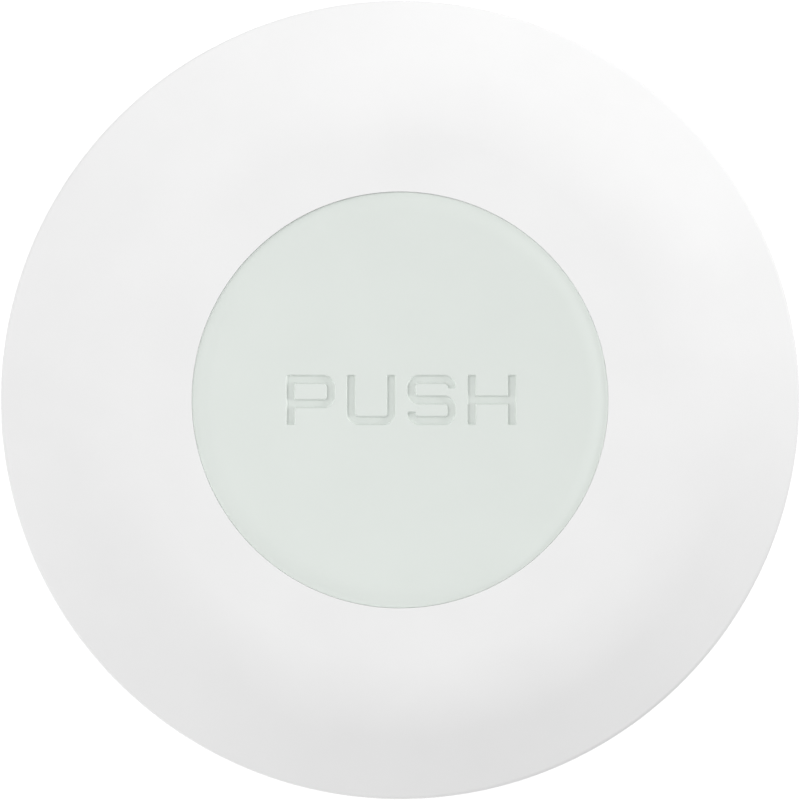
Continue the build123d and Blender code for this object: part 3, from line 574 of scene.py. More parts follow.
class Shader(Graph):
    """Node material whose patterns lie on a piece's own coordinates."""

    def __init__(self, name: str, arrayed: bool) -> None:
        """Start a material.

        Args:
            name: Its name.
            arrayed: Whether its patterns lie on each arrayed piece, or else on the whole object.
        """
        self.material = bpy.data.materials.new(name)
        self.material.use_nodes = True
        super().__init__(self.material.node_tree)
        self.surface = self.add("ShaderNodeBsdfPrincipled")
        self.add("ShaderNodeOutputMaterial", self.surface.outputs["BSDF"])
        if arrayed:
            source = self.add("ShaderNodeAttribute", attribute_name=OWN_PLACE)
            self.place = source.outputs["Vector"]
        else:
            self.place = self.add("ShaderNodeTexCoord").outputs["Object"]

    def set(self, **values: object) -> None:
        """Set inputs of the surface, by name with _ for spaces."""
        for label, value in values.items():
            self.feed(self.surface.inputs[label.replace("_", " ")], value)

    def scaled(self, size: object, shift: float = 0.0, turn: float = 0.0) -> Socket:
        """Scale the pattern's coordinates.

        Args:
            size: Length of one unit in millimetres, one number or one for each axis.
            shift: How far the pattern is shifted, in its own units.
            turn: Angle that it is turned by in the plan after that.

        Returns:
            The coordinates.
        """
        axes = size if isinstance(size, tuple) else (size,) * 3
        scale = [1 / (axis * MM) for axis in axes]
        kind, shifts = "ShaderNodeMapping", (shift,) * 3
        scaled = self.out(kind, Vector=self.place, Location=shifts, Scale=scale)
        return self.out(kind, Vector=scaled, Rotation=(0.0, 0.0, turn)) if turn else scaled

    def noise(self, size: object, detail: float = 2.0, shift: float = 0.0) -> Socket:
        """Make a cloudy pattern from 0 to 1, by the size of its blots and its finer layers."""
        place = self.scaled(size, shift)
        return self.out("ShaderNodeTexNoise", Vector=place, Scale=1.0, Detail=detail)

    def cells(self, size: float, feature: str = "F1") -> Socket:
        """Make a pattern of cells, as the distance from each cell's middle."""
        place = self.scaled(size)
        return self.out("ShaderNodeTexVoronoi", feature=feature, Vector=place, Scale=1.0)

    def fit(self, value: Socket, low: float, high: float, ends: Point = (0.3, 0.7)) -> Socket:
        """Fit a pattern between two numbers, by its own ends."""
        return self.out("ShaderNodeMapRange", value, *ends, low, high)

    def between(self, share: object, first: object, second: object) -> Socket:
        """Mix two colours.

        Args:
            share: Share of the second one.
            first: First colour or socket.
            second: Second colour or socket.

        Returns:
            The mixed colour.
        """
        node = self.add("ShaderNodeMix", data_type="RGBA", Factor=share)
        colours = [s for s in node.inputs if s.type == "RGBA"]
        for socket, colour in zip(colours, (first, second)):
            self.feed(socket, (*colour, 1.0) if isinstance(colour, tuple) else colour)
        return next(s for s in node.outputs if s.type == "RGBA")

    def axes(self) -> bpy.types.bpy_prop_collection:
        """Give the coordinates along X, Y and Z, in metres."""
        return self.add("ShaderNodeSeparateXYZ", self.place).outputs

    def radius(self) -> Socket:
        """Give the distance from the upright axis, in metres."""
        squares = [self.sum("POWER", axis, 2.0) for axis in self.axes()[:2]]
        return self.sum("SQRT", self.sum("ADD", *squares))

    def emboss(self, height: Socket, depth: float) -> None:
        """Raise the surface's fine texture by a pattern from 0 to 1, by a height for its range."""
        bump = self.out("ShaderNodeBump", Height=height, Distance=depth * MM, Strength=1.0)
        self.set(Normal=bump)

    def wander(self, colour: Colour, share: float, size: float) -> Socket:
        """Let a colour wander softly about its middle.

        Args:
            colour: The colour.
            share: Share that it strays each way.
            size: Size of the blots, in millimetres.

        Returns:
            The colour.
        """
        dark = shade(colour, 1 - share)
        pale = tuple(min(1.0, c) for c in shade(colour, 1 + share))
        return self.between(self.fit(self.noise(size, 3.0), 0.0, 1.0), dark, pale)


def shade(colour: Colour, share: float) -> Colour:
    """Darken or pale a colour to a share of itself."""
    return tuple(c * share for c in colour)


@dataclass(frozen=True)
class Finish:
    """Finish of one material slot."""

    name: str
    colour: Colour

    @property
    def arrayed(self) -> bool:
        """Whether its patterns lie on each arrayed piece."""
        return False

    def material(self) -> bpy.types.Material:
        """Make the material.

        Returns:
            The material.
        """
        shader = Shader(self.name, self.arrayed)
        self.dress(shader)
        return shader.material

    def dress(self, shader: Shader) -> None:
        """Set the surface of the material, which each kind of finish does in its own way."""
        raise NotImplementedError


@dataclass(frozen=True)
class MouldedPlastic(Finish):
    """Moulded plastic with the fine spark texture of its mould."""

    roughness: float = 0.5
    grain: float = 0.16  # size of the texture's pits
    grain_depth: float = 0.003
    stray: float = 0.012  # share that the colour strays
    specular: float = 0.45
    spread: float = 0.04  # of the roughness, each way
    blot: float = 9.0  # size of the colour's blots
    patch: float = 2.4  # size of the roughness's patches

    def dress(self, shader: Shader) -> None:
        """Set the surface.

        Args:
            shader: The material.
        """
        low, high = self.roughness - self.spread, self.roughness + self.spread
        shader.set(
            Base_Color=shader.wander(self.colour, self.stray, self.blot),
            Roughness=shader.fit(shader.noise(self.patch, 3.0, 5.0), low, high),
            Specular_IOR_Level=self.specular,
        )
        cells = shader.cells(self.grain * 2, "SMOOTH_F1")
        shader.emboss(shader.sum("ADD", shader.noise(self.grain), cells), self.grain_depth)


@dataclass(frozen=True)
class Silicone(Finish):
    """Soft matt silicone skin, a little dusty."""

    roughness: float = 0.62
    skin: float = 0.09  # size of the skin's texture
    skin_depth: float = 0.002
    bloom: float = 0.02  # share that the dusty bloom pales the colour
    spread: float = 0.05  # of the roughness, each way
    stray: float = 0.008  # share that the colour strays
    blot: float = 6.0  # size of the colour's blots
    patch: float = 1.2  # size of the roughness's patches
    speck: float = 0.35  # size of the dust
    sheen: float = 0.06

    def dress(self, shader: Shader) -> None:
        """Set the surface.

        Args:
            shader: The material.
        """
        pale = tuple(c + (1 - c) * self.bloom * 2 for c in self.colour)
        specks = shader.fit(shader.noise(self.speck, 4.0, 3.0), 0.0, 0.5, (0.5, 0.8))
        skin = shader.wander(self.colour, self.stray, self.blot)
        low, high = self.roughness - self.spread, self.roughness + self.spread
        shader.set(
            Base_Color=shader.between(specks, skin, pale),
            Roughness=shader.fit(shader.noise(self.patch, 3.0, 9.0), low, high),
            Specular_IOR_Level=0.4,
            Sheen_Weight=self.sheen,
            Sheen_Roughness=0.5,
        )
        shader.emboss(shader.noise(self.skin), self.skin_depth)


@dataclass(frozen=True)
class Metal(Finish):
    """Bare or plated metal with the fine lines of its making."""

    roughness: float = 0.28
    lay: Lay = Lay.ROLLED
    line: float = 0.03  # width of a line
    line_depth: float = 0.0006
    tarnish: float = 0.06  # share that the colour darkens in blots
    blot: float = 1.6  # size of those blots
    rolled_length: float = 60.0  # of a rolled line, in widths
    plated_grain: float = 8.0  # of a plated face, in widths of a line
    spread: Point = (0.06, 0.08)  # of the roughness, down and up

    @property
    def arrayed(self) -> bool:
        """Whether its patterns lie on each arrayed piece."""
        return self.lay is Lay.TURNED

    def dress(self, shader: Shader) -> None:
        """Set the surface.

        Args:
            shader: The material.
        """
        if self.lay is Lay.TURNED:
            height = shader.axes()["Z"]
            shader.place = shader.out("ShaderNodeCombineXYZ", X=shader.radius(), Z=height)
            lines = shader.noise(self.line)
        elif self.lay is Lay.ROLLED:
            lines = shader.noise((self.line * self.rolled_length, self.line, self.line))
        else:
            lines = shader.noise(self.line * self.plated_grain, 4.0)
        blots = shader.fit(shader.noise(self.blot, 4.0, 2.0), 0.0, 1.0, (0.35, 0.75))
        low, high = self.roughness - self.spread[0], self.roughness + self.spread[1]
        shader.set(
            Base_Color=shader.between(blots, self.colour, shade(self.colour, 1 - self.tarnish)),
            Metallic=1.0,
            Roughness=shader.fit(lines, low, high),
        )
        shader.emboss(lines, self.line_depth)


@dataclass(frozen=True)
class BatteryCan(Finish):
    """Nickel plated can of a coin battery, with the dark gasket between can and cap."""

    gasket_radius: float = 10.2
    gasket_width: float = 0.4
    gasket_colour: Colour = (0.05, 0.05, 0.05)
    line: Corner = (1.8, 0.03, 0.03)  # size of a rolled line along each axis
    line_depth: float = 0.0006
    roughness: Point = (0.2, 0.36)

    def dress(self, shader: Shader) -> None:
        """Set the surface.

        Args:
            shader: The material.
        """
        lines = shader.noise(self.line)
        away = shader.sum("SUBTRACT", shader.radius(), self.gasket_radius * MM)
        near = shader.sum("LESS_THAN", shader.sum("ABSOLUTE", away), self.gasket_width * MM / 2)
        top = span("coin_battery")[1].z * MM
        upper = shader.sum("GREATER_THAN", shader.axes()["Z"], top - MM)
        gasket = shader.sum("MULTIPLY", near, upper)
        shader.set(
            Base_Color=shader.between(gasket, self.colour, self.gasket_colour),
            Metallic=shader.sum("SUBTRACT", 1.0, gasket),
            Roughness=shader.fit(lines, *self.roughness),
        )
        shader.emboss(lines, self.line_depth)


@dataclass(frozen=True)
class Foam(Finish):
    """Closed-cell foam, with painted shade in the hollows of its cells."""

    cell: float = 0.35
    cell_depth: float = 0.06
    painted_wall_light: float = 1.6  # share of the colour on the raised walls between the cells: painted light, while the sunk cell middles keep the darker colour as painted shade

    def dress(self, shader: Shader) -> None:
        """Set the surface.

        Args:
            shader: The material.
        """
        cells = shader.cells(self.cell)
        # Painted shade and light: the colour darkens towards each cell's sunk middle and pales on its
        # raised walls, following the bump below
        share = shader.fit(cells, 0.0, 1.0, (0.0, 0.8))
        shader.set(
            Base_Color=shader.between(share, self.colour, shade(self.colour, self.painted_wall_light)),
            Roughness=0.95,
            Specular_IOR_Level=0.2,
        )
        shader.emboss(cells, self.cell_depth)


@dataclass(frozen=True)
class SolderMask(Finish):
    """Board lacquer with copper tracks under it, over a woven ground."""

    track_pitch: float = 1.5
    track_width: float = 0.16  # share of the pitch
    patch: float = 7.0  # size of a field of tracks that run one way
    track_length: float = 5.0  # in pitches
    track_pale: float = 2.2  # share of the colour over a track
    track_depth: float = 0.03
    weave: float = 0.4  # size of the ground's threads
    weave_dark: float = 0.86  # share of the colour on every other thread

    def tracks(self, shader: Shader, turn: float) -> Socket:
        """Make tracks that run one way, broken where they dive through the board.

        Args:
            shader: The material.
            turn: Angle of the tracks from +X.

        Returns:
            The pattern, 1 on a track.
        """
        bricks = shader.add(
            "ShaderNodeTexBrick",
            Vector=shader.scaled(self.track_pitch, turn=turn),
            Scale=1.0,
            Mortar_Size=self.track_width / 2,
            Mortar_Smooth=0.0,
            Brick_Width=self.track_length,
            Row_Height=1.0,
        )
        return bricks.outputs["Fac"]

    def dress(self, shader: Shader) -> None:
        """Set the surface.

        Args:
            shader: The material.
        """
        weave = shader.add("ShaderNodeTexChecker", Vector=shader.scaled(self.weave), Scale=1.0)
        along = shader.sum("GREATER_THAN", shader.noise(self.patch, 0.0), 0.5)
        fields = (along, shader.sum("SUBTRACT", 1.0, along))
        ways = [
            shader.sum("MULTIPLY", self.tracks(shader, turn), patch)
            for turn, patch in zip((0.0, QUARTER), fields)
        ]
        tracks = shader.sum("MAXIMUM", *ways)
        dark, pale = shade(self.colour, self.weave_dark), shade(self.colour, self.track_pale)
        ground = shader.between(weave.outputs["Fac"], self.colour, dark)
        shader.set(
            Base_Color=shader.between(tracks, ground, pale),
            Roughness=shader.fit(shader.noise(3.0), 0.32, 0.42),
            Specular_IOR_Level=0.3,
        )
        shader.emboss(tracks, self.track_depth)


@dataclass(frozen=True)
class ClearResin(Finish):
    """Clear moulded resin, faintly clouded."""

    transmission: float = 1.0

    def dress(self, shader: Shader) -> None:
        """Set the surface.

        Args:
            shader: The material.
        """
        shader.set(
            Base_Color=shader.wander(self.colour, 0.01, 2.0),
            Roughness=shader.fit(shader.noise(1.5, 3.0), 0.05, 0.16),
            Transmission_Weight=self.transmission,
            IOR=1.49,
        )
        shader.emboss(shader.noise(0.4), 0.001)


@dataclass(frozen=True)
class WovenSheet(Finish):
    """Thin watertight sheet with a fine weave, with painted shade between its threads."""

    thread: float = 0.18

    def dress(self, shader: Shader) -> None:
        """Set the surface.

        Args:
            shader: The material.
        """
        place, kind = shader.scaled(self.thread), "ShaderNodeTexWave"
        waves = [shader.add(kind, bands_direction=way, Vector=place, Scale=0.31) for way in "XY"]
        weave = shader.sum("MAXIMUM", *(wave.outputs["Fac"] for wave in waves))
        # Painted shade: the sheet darkens to 0.8 of its colour where the weave is low, between the
        # threads
        colour = shader.between(weave, shade(self.colour, 0.8), self.colour)
        shader.set(Base_Color=colour, Roughness=0.7)
        shader.emboss(weave, 0.03)


finishes = {
    finish.name: finish
    for finish in (
        MouldedPlastic("cover_white", (0.87, 0.87, 0.87), 0.48),
        Silicone("press_pad", (0.738, 0.781, 0.747)),
        MouldedPlastic("inner_white", (0.78, 0.78, 0.76), 0.5),
        Metal("spring_steel", (0.62, 0.62, 0.63), 0.26, Lay.PLATED),
        Silicone("black_seal", (0.025, 0.025, 0.026), 0.5, bloom=0.01),
        ClearResin("clear_pipe", (0.92, 0.95, 0.96)),
        MouldedPlastic("base_white", (0.83, 0.83, 0.82), 0.56, 0.22, 0.006),
        Metal("zinc_screw", (0.66, 0.67, 0.68), 0.26, Lay.TURNED, tarnish=0.12),
        Foam("dark_foam", (0.04, 0.04, 0.045)),
        BatteryCan("battery_steel", (0.72, 0.72, 0.72)),
        Metal("nickel_strip", (0.70, 0.69, 0.66), 0.3),
        SolderMask("board_green", (0.015, 0.11, 0.045)),
        SolderMask("board_blue", (0.015, 0.045, 0.16), 0.9),
        MouldedPlastic("black_plastic", (0.025, 0.025, 0.026), 0.45, stray=0.06, specular=0.3),
        Metal("tin_can", (0.74, 0.74, 0.72), 0.3),
        Metal("copper", (0.72, 0.40, 0.22), 0.24, Lay.PLATED),
        MouldedPlastic("capacitor_yellow", (0.75, 0.52, 0.12), 0.34, stray=0.03),
        MouldedPlastic("ferrite", (0.10, 0.10, 0.11), 0.7, 0.12, 0.006, 0.08),
        MouldedPlastic("capacitor_tan", (0.45, 0.33, 0.22), 0.32, stray=0.05),
        ClearResin("led_clear", (0.85, 0.86, 0.78), 0.5),
        Metal("brass", (0.72, 0.56, 0.28), 0.3),
        WovenSheet("membrane", (0.82, 0.82, 0.82)),
        Metal("probe_steel", (0.70, 0.70, 0.69), 0.2, Lay.TURNED, 0.05),
        Metal("probe_gold", (0.80, 0.62, 0.26), 0.22, Lay.PLATED),
    )
}


def hand_over(
    piece: Piece, name: str, body: Body, slot: str, *replaced: str, even_normals: bool = True
) -> None:
    """Shade a piece, turn it into metres and put it on its body.

    Args:
        piece: The piece, in millimetres.
        name: Its name.
        body: Body that it moves with.
        slot: Material slot of the record that it takes its finish from.
        *replaced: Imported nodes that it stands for.
        even_normals: Whether flat faces keep level normals beside their rounded edges.
    """
    piece.name = piece.data.name = name
    if even_normals:
        piece.data.shade_smooth()
        piece.data.set_sharp_from_angle(angle=SHARP_ANGLE)
        weighted = piece.modifiers.new("normals", "WEIGHTED_NORMAL")
        weighted.keep_sharp = True
        settle(piece)
        piece.data.name = name
    piece.data.transform(Matrix.Scale(MM, 4))
    piece.data.materials.clear()
    piece.data.materials.append(finishes[slot].material())
    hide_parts(*replaced)
    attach(piece, body.value)
    log.info("%s: %d faces on %s", name, len(piece.data.polygons), body.value)


@dataclass(frozen=True)
class Outline:
    """Sizes that more than one piece is drawn from."""

    disc_gap: float = 0.18  # round the press disc, below its seam
    seam_gap: float = 0.02  # round the press disc, at its seam
    ring_width: float = 5.1  # level ring round the press disc
    shoulder_width: float = 8.0
    flank: float = math.radians(24.0)  # fall of the flank below level
    side: float = math.radians(6.0)  # lean of the side, inwards on its way down
    rim_round: float = 0.6
    wall: float = 2.0
    spigot_gap: float = 0.19
    spigot_wall: float = 2.4
    travel: float = 0.8  # of the press disc
    screw_head: float = 2.3
    screw_angle: float = 30.0
    probe_circle: float = 30.05
    probe_angle: float = 90.0
    lug_height: float = 6.2  # middle of the door's lugs, above the floor
    lug_lead: float = 18.0
    lug_angle: float = 26.0

    @property
    def top(self) -> float:
        """Height of the level ring."""
        return span("top_cover")[1].z

    @property
    def cover_bottom(self) -> float:
        """Lower edge of the cover."""
        return span("top_cover")[0].z

    @property
    def base_bottom(self) -> float:
        """Underside of the base."""
        return span("base")[0].z

    @property
    def disc_radius(self) -> float:
        """Radius of the press disc's carrier."""
        return span("button_carrier")[1].x

    @property
    def recess_radius(self) -> float:
        """Radius of the cover's recess for the press disc."""
        return self.disc_radius + self.disc_gap

    @property
    def mouth_radius(self) -> float:
        """Radius of the cover's edge at the seam round the press disc."""
        return self.disc_radius + self.seam_gap

    @property
    def rim_radius(self) -> float:
        """Radius of the rim's sharp corner, before it is rounded.

        Returns:
            The radius.
        """
        turn = QUARTER - self.flank + self.side
        overhang = math.tan(turn / 2) * math.sin(self.side) + math.cos(self.side) - 1
        return span("top_cover")[1].x + self.rim_round * overhang

    @property
    def ring_radius(self) -> float:
        """Outer radius of the level ring."""
        return self.recess_radius + self.ring_width

    @property
    def shoulder_radius(self) -> float:
        """Radius of the shoulder's curve."""
        return self.shoulder_width / math.sin(self.flank)

    @property
    def rim_height(self) -> float:
        """Height of the rim's sharp corner.

        Returns:
            The height.
        """
        drop = self.shoulder_radius * (1 - math.cos(self.flank))
        flank_width = self.rim_radius - self.ring_radius - self.shoulder_width
        return self.top - drop - flank_width * math.tan(self.flank)

    def side_radius(self, height: float) -> float:
        """Outer radius of the side at a height."""
        return self.rim_radius - (self.rim_height - height) * math.tan(self.side)

    def inner_radius(self, height: float) -> float:
        """Inner radius of the side at a height."""
        return self.side_radius(height) - self.wall / math.cos(self.side)

    @property
    def spigot_radius(self) -> float:
        """Outer radius of the base's spigot."""
        return self.inner_radius(self.cover_bottom) - self.spigot_gap

    @property
    def screw_circle(self) -> float:
        """Radius of the case screws' circle: the third stands straight below the axis in plan."""
        return -(span("case_screws")[0].y + self.screw_head)

    def helix_ring(
        self, inner: float, outer: float, half: float, edge: float, angle: float
    ) -> list[Vector]:
        """Stand the section of a lug or of its groove at an angle of the lugs' helix.

        Args:
            inner: Radius of its inner side.
            outer: Radius of its outer side.
            half: Half its height.
            edge: Rounding of its outer corners.
            angle: The angle, in degrees.

        Returns:
            Its points.
        """
        corners = [(inner, -half, 0), (outer, -half, edge), (outer, half, edge), (inner, half, 0)]
        middle = self.lug_height + angle / 360 * self.lug_lead
        return [Vector((*polar(r, angle), middle + z)) for r, z in rounded(corners)]


shape = Outline()


@dataclass(frozen=True)
class Cover:
    """White domed cover with a pan under the press disc."""

    edge_round: float = 0.06  # of the recess, beside the press disc
    mouth_depth: float = 1.6  # of the close fit at the recess's mouth
    lower_round: float = 0.3
    inner_round: float = 0.4
    pan_drop: float = 5.5  # from the level ring down to the pan
    pan_thickness: float = 1.5
    boss_radius: float = 4.4  # round the stem
    boss_drop: float = 0.9
    gland_radius: float = 3.18
    gland_depth: float = 1.4
    bore_radius: float = 1.95
    screw_boss: float = 3.2
    screw_pilot: float = 1.1
    screw_pilot_depth: float = 10.0
    screw_pilot_round: float = 0.2
    screw_boss_bottom: float = 6.4
    guide_circle: float = 15.0
    guide_bore: float = 1.28
    guide_wall: float = 1.0
    guide_floor: float = 16.5
    guide_base: float = 0.8
    light_place: Point = (0.0, 9.5)
    light_bore: float = 1.55
    segments: int = 288

    @property
    def pan(self) -> float:
        """Height of the pan."""
        return shape.top - self.pan_drop

    @property
    def pan_low(self) -> float:
        """Underside of the pan."""
        return self.pan - self.pan_thickness

    def profile(self) -> Profile:
        """Draw the shell, from its bore outwards and back over the top.

        Returns:
            Its points.
        """
        pan, pan_low, low = self.pan, self.pan_low, shape.cover_bottom
        boss_low = pan_low - self.boss_drop
        ceiling = shape.top - shape.wall
        flank = QUARTER - shape.flank
        inner, outer = shape.shoulder_radius - shape.wall, shape.shoulder_radius
        under = arc((shape.ring_radius, ceiling - inner), inner, QUARTER, flank, 10)
        over = arc((shape.ring_radius, shape.top - outer), outer, flank, QUARTER, 24)
        fall, lean = math.tan(shape.flank), math.tan(shape.side)
        reach = shape.inner_radius(0) - under[-1][0]
        corner_height = (under[-1][1] - reach * fall) / (1 + lean * fall)
        inside = self.inner_round
        corners = [
            (self.bore_radius, boss_low, 0.1),
            (self.boss_radius, boss_low, 0.2),
            (self.boss_radius, pan_low, 0.2),
            (shape.recess_radius + shape.wall, pan_low, inside),
            (shape.recess_radius + shape.wall, ceiling, inside),
            *((x, y, 0.0) for x, y in under),
            (shape.inner_radius(corner_height), corner_height, 1.0),
            (shape.inner_radius(low), low, 0.15),
            (shape.side_radius(low), low, self.lower_round),
            (shape.rim_radius, shape.rim_height, shape.rim_round),
            *((x, y, 0.0) for x, y in over),
            (shape.mouth_radius, shape.top, self.edge_round),
            (shape.mouth_radius, shape.top - self.mouth_depth, 0.0),
            (shape.recess_radius, shape.top - self.mouth_depth - shape.disc_gap, 0.0),
            (shape.recess_radius, pan, inside),
            (self.gland_radius, pan, 0.1),
            (self.gland_radius, pan - self.gland_depth, 0.05),
            (self.bore_radius, pan - self.gland_depth, 0.0),
        ]
        return rounded(corners)

    def build(self) -> None:
        """Make the cover."""
        cover = shop.turn("cover", self.profile(), self.segments)
        ceiling, low = shape.top - shape.wall, self.screw_boss_bottom
        boss = plain_rod("boss", self.screw_boss, low, ceiling + OVERRUN)
        socket_low = self.guide_floor - self.guide_base
        outer = self.guide_bore + self.guide_wall
        socket = plain_rod("socket", outer, socket_low, self.pan_low + OVERRUN)
        pilot_sizes = (self.screw_pilot, low, self.screw_pilot_depth, self.screw_pilot_round)
        pilot = bore("pilot", *pilot_sizes)
        hole = plain_rod("hole", self.guide_bore, self.guide_floor, self.pan + 2 * OVERRUN)
        for tool, circle, cut in (
            (boss, shape.screw_circle, Cut.JOIN),
            (socket, self.guide_circle, Cut.JOIN),
            (pilot, shape.screw_circle, Cut.REMOVE),
            (hole, self.guide_circle, Cut.REMOVE),
        ):
            shop.work(cover, shop.repeat(tool, circle, shape.screw_angle), cut)
        light_low, light_top = self.pan_low - 2 * OVERRUN, self.pan + 2 * OVERRUN
        light = plain_rod("light", self.light_bore, light_low, light_top)
        shop.work(cover, moved(light, self.light_place), Cut.REMOVE)
        hand_over(cover, "cover", Body.HOUSING, "cover_white", "top_cover")


@dataclass(frozen=True)
class Bar:
    """Straight piece of a sunk stroke."""

    start: Point
    end: Point
    half: float

    def distance(self, x: np.ndarray, y: np.ndarray) -> np.ndarray:
        """Measure how far points lie outside the piece.

        Args:
            x: Places along X.
            y: Places along Y.

        Returns:
            The distances, below nought inside and without end past the piece's ends.
        """
        run = np.subtract(self.end, self.start)
        length = float(np.hypot(*run))
        way = run / length
        along = (x - self.start[0]) * way[0] + (y - self.start[1]) * way[1]
        across = np.abs((y - self.start[1]) * way[0] - (x - self.start[0]) * way[1])
        return np.where((along >= 0) & (along <= length), across - self.half, np.inf)


@dataclass(frozen=True)
class FreeEnd:
    """Square end of a sunk stroke, with rounded corners."""

    place: Point
    way: Point  # out of the stroke
    half: float
    corner: float = 0.12
    reach: float = 0.5  # how far round it the end is felt

    def cut(self, x: np.ndarray, y: np.ndarray, away: np.ndarray) -> np.ndarray:
        """Shorten a stroke to the end.

        Args:
            x: Places along X.
            y: Places along Y.
            away: Distances outside the stroke, which runs on past the end.

        Returns:
            The distances outside the shortened stroke.
        """
        along = (x - self.place[0]) * self.way[0] + (y - self.place[1]) * self.way[1]
        across = np.abs((y - self.place[1]) * self.way[0] - (x - self.place[0]) * self.way[1])
        near = (np.abs(along) < self.reach) & (across < self.half + self.reach / 2)
        side, tip = away + self.corner, along + self.corner
        outside = np.hypot(np.maximum(side, 0), np.maximum(tip, 0))
        ended = outside + np.minimum(np.maximum(side, tip), 0) - self.corner
        return np.where(near, ended, away)


@dataclass(frozen=True)
class Bend:
    """Quarter bend of a sunk stroke."""

    centre: Point
    middle: float  # direction of the middle of the bend from its centre, in radians
    radius: float
    half: float

    def distance(self, x: np.ndarray, y: np.ndarray) -> np.ndarray:
        """Measure how far points lie outside the piece.

        Args:
            x: Places along X.
            y: Places along Y.

        Returns:
            The distances, below nought inside.
        """
        dx, dy = x - self.centre[0], y - self.centre[1]
        turn = np.arctan2(dy, dx) - self.middle
        turn = np.abs((turn + math.pi) % math.tau - math.pi)
        away = np.abs(np.hypot(dx, dy) - self.radius) - self.half
        return np.where(turn <= math.pi / 4 + 1e-9, away, np.inf)


@dataclass(frozen=True)
class Word:
    """Plain word sunk in the press pad, drawn as strokes of one width."""

    height: float = 4.9
    width: float = 4.8
    pitch: float = 6.03
    shift: float = 0.13  # of the word's middle off the axis
    stroke: float = 0.8
    corner: float = 0.75  # radius on the middle of a stroke
    bowl_drop: float = 0.37
    hook_height: float = 1.2
    depth: float = 0.42
    lip: float = 0.1  # width of the rounded edge outside a stroke
    toe: float = 0.12  # width of the wall inside a stroke
    fillet: float = 0.1  # where two strokes meet
    rim_drop: float = 0.03  # that the pad falls before it meets a stroke
    rim_width: float = 0.9

    def letters(self) -> list[list[tuple[list[Point], bool]]]:
        """List each letter's strokes.

        Returns:
            For each stroke the points on its middle, and whether it ends in other strokes.
        """
        right, upper = (self.width - self.stroke) / 2, (self.height - self.stroke) / 2
        left, lower, head = -right, -upper, self.height / 2
        bowl, hook = -self.bowl_drop, self.hook_height
        hooked = [(right, hook), (right, upper), (left, upper), (left, 0.0)]
        hooked += [(right, 0.0), (right, lower), (left, lower), (left, -hook)]
        return [
            [
                ([(left, -head), (left, head)], False),
                ([(left, upper), (right, upper), (right, bowl), (left, bowl)], True),
            ],
            [([(left, head), (left, lower), (right, lower), (right, head)], False)],
            [(hooked, False)],
            [
                ([(left, -head), (left, head)], False),
                ([(right, -head), (right, head)], False),
                ([(left, 0.0), (right, 0.0)], True),
            ],
        ]

    def middles(self) -> list[float]:
        """List the letters' middles along X."""
        count = len(self.letters())
        return [self.shift + (place - (count - 1) / 2) * self.pitch for place in range(count)]

    def stroke_distance(
        self, points: list[Point], joined: bool, x: np.ndarray, y: np.ndarray
    ) -> np.ndarray:
        """Measure how far places lie outside one stroke.

        Args:
            points: Points on the stroke's middle.
            joined: Whether its ends lie in another stroke.
            x: Places along X.
            y: Places along Y.

        Returns:
            The distances, below nought inside.
        """
        half = self.stroke / 2
        away = np.full_like(x, FAR)
        ends = []
        stops = [np.array(p) for p in points]
        for place in range(len(stops) - 1):
            start, end = stops[place], stops[place + 1]
            way = (end - start) / np.hypot(*(end - start))
            begin, stop = start + way * self.corner, end - way * self.corner
            if place == 0:
                begin = start if joined else start - way * half
                ends.append(FreeEnd(tuple(start), tuple(-way), half))
            if place == len(stops) - 2:
                stop = end if joined else end + way * half
                ends.append(FreeEnd(tuple(end), tuple(way), half))
            else:
                after = stops[place + 2] - end
                after = after / np.hypot(*after)
                centre = end + (after - way) * self.corner
                out = end - centre
                bend = Bend(tuple(centre), math.atan2(out[1], out[0]), self.corner, half)
                away = np.minimum(away, bend.distance(x, y))
            away = np.minimum(away, Bar(tuple(begin), tuple(stop), half).distance(x, y))
        for end in ends:
            away = away if joined else end.cut(x, y, away)
        return away

    def distance(self, x: np.ndarray, y: np.ndarray) -> np.ndarray:
        """Measure how far places lie outside the word's strokes.

        Args:
            x: Places along X.
            y: Places along Y.

        Returns:
            The distances, below nought inside.
        """
        nearest = np.full_like(x, FAR)
        for middle, strokes in zip(self.middles(), self.letters()):
            for points, joined in strokes:
                away = self.stroke_distance(points, joined, x - middle, y)
                # Two strokes run into each other over a small fillet
                blend = np.maximum(self.fillet - np.abs(nearest - away), 0) / self.fillet
                nearest = np.minimum(nearest, away) - blend**2 * self.fillet / 4
        return nearest

    def sink(self, x: np.ndarray, y: np.ndarray) -> np.ndarray:
        """Give the depth that the word is sunk at points of the pad.

        Args:
            x: Places along X.
            y: Places along Y.

        Returns:
            The depths.
        """
        away = self.distance(x, y)
        share = np.clip((self.lip - away) / (self.lip + self.toe), 0, 1)
        # The wall is level where it leaves the pad and where it meets the stroke's floor
        wall = (self.depth - self.rim_drop) * share**3 * (share * (6 * share - 15) + 10)
        return wall + self.rim_drop * np.clip(1 - away / self.rim_width, 0, 1) ** 2


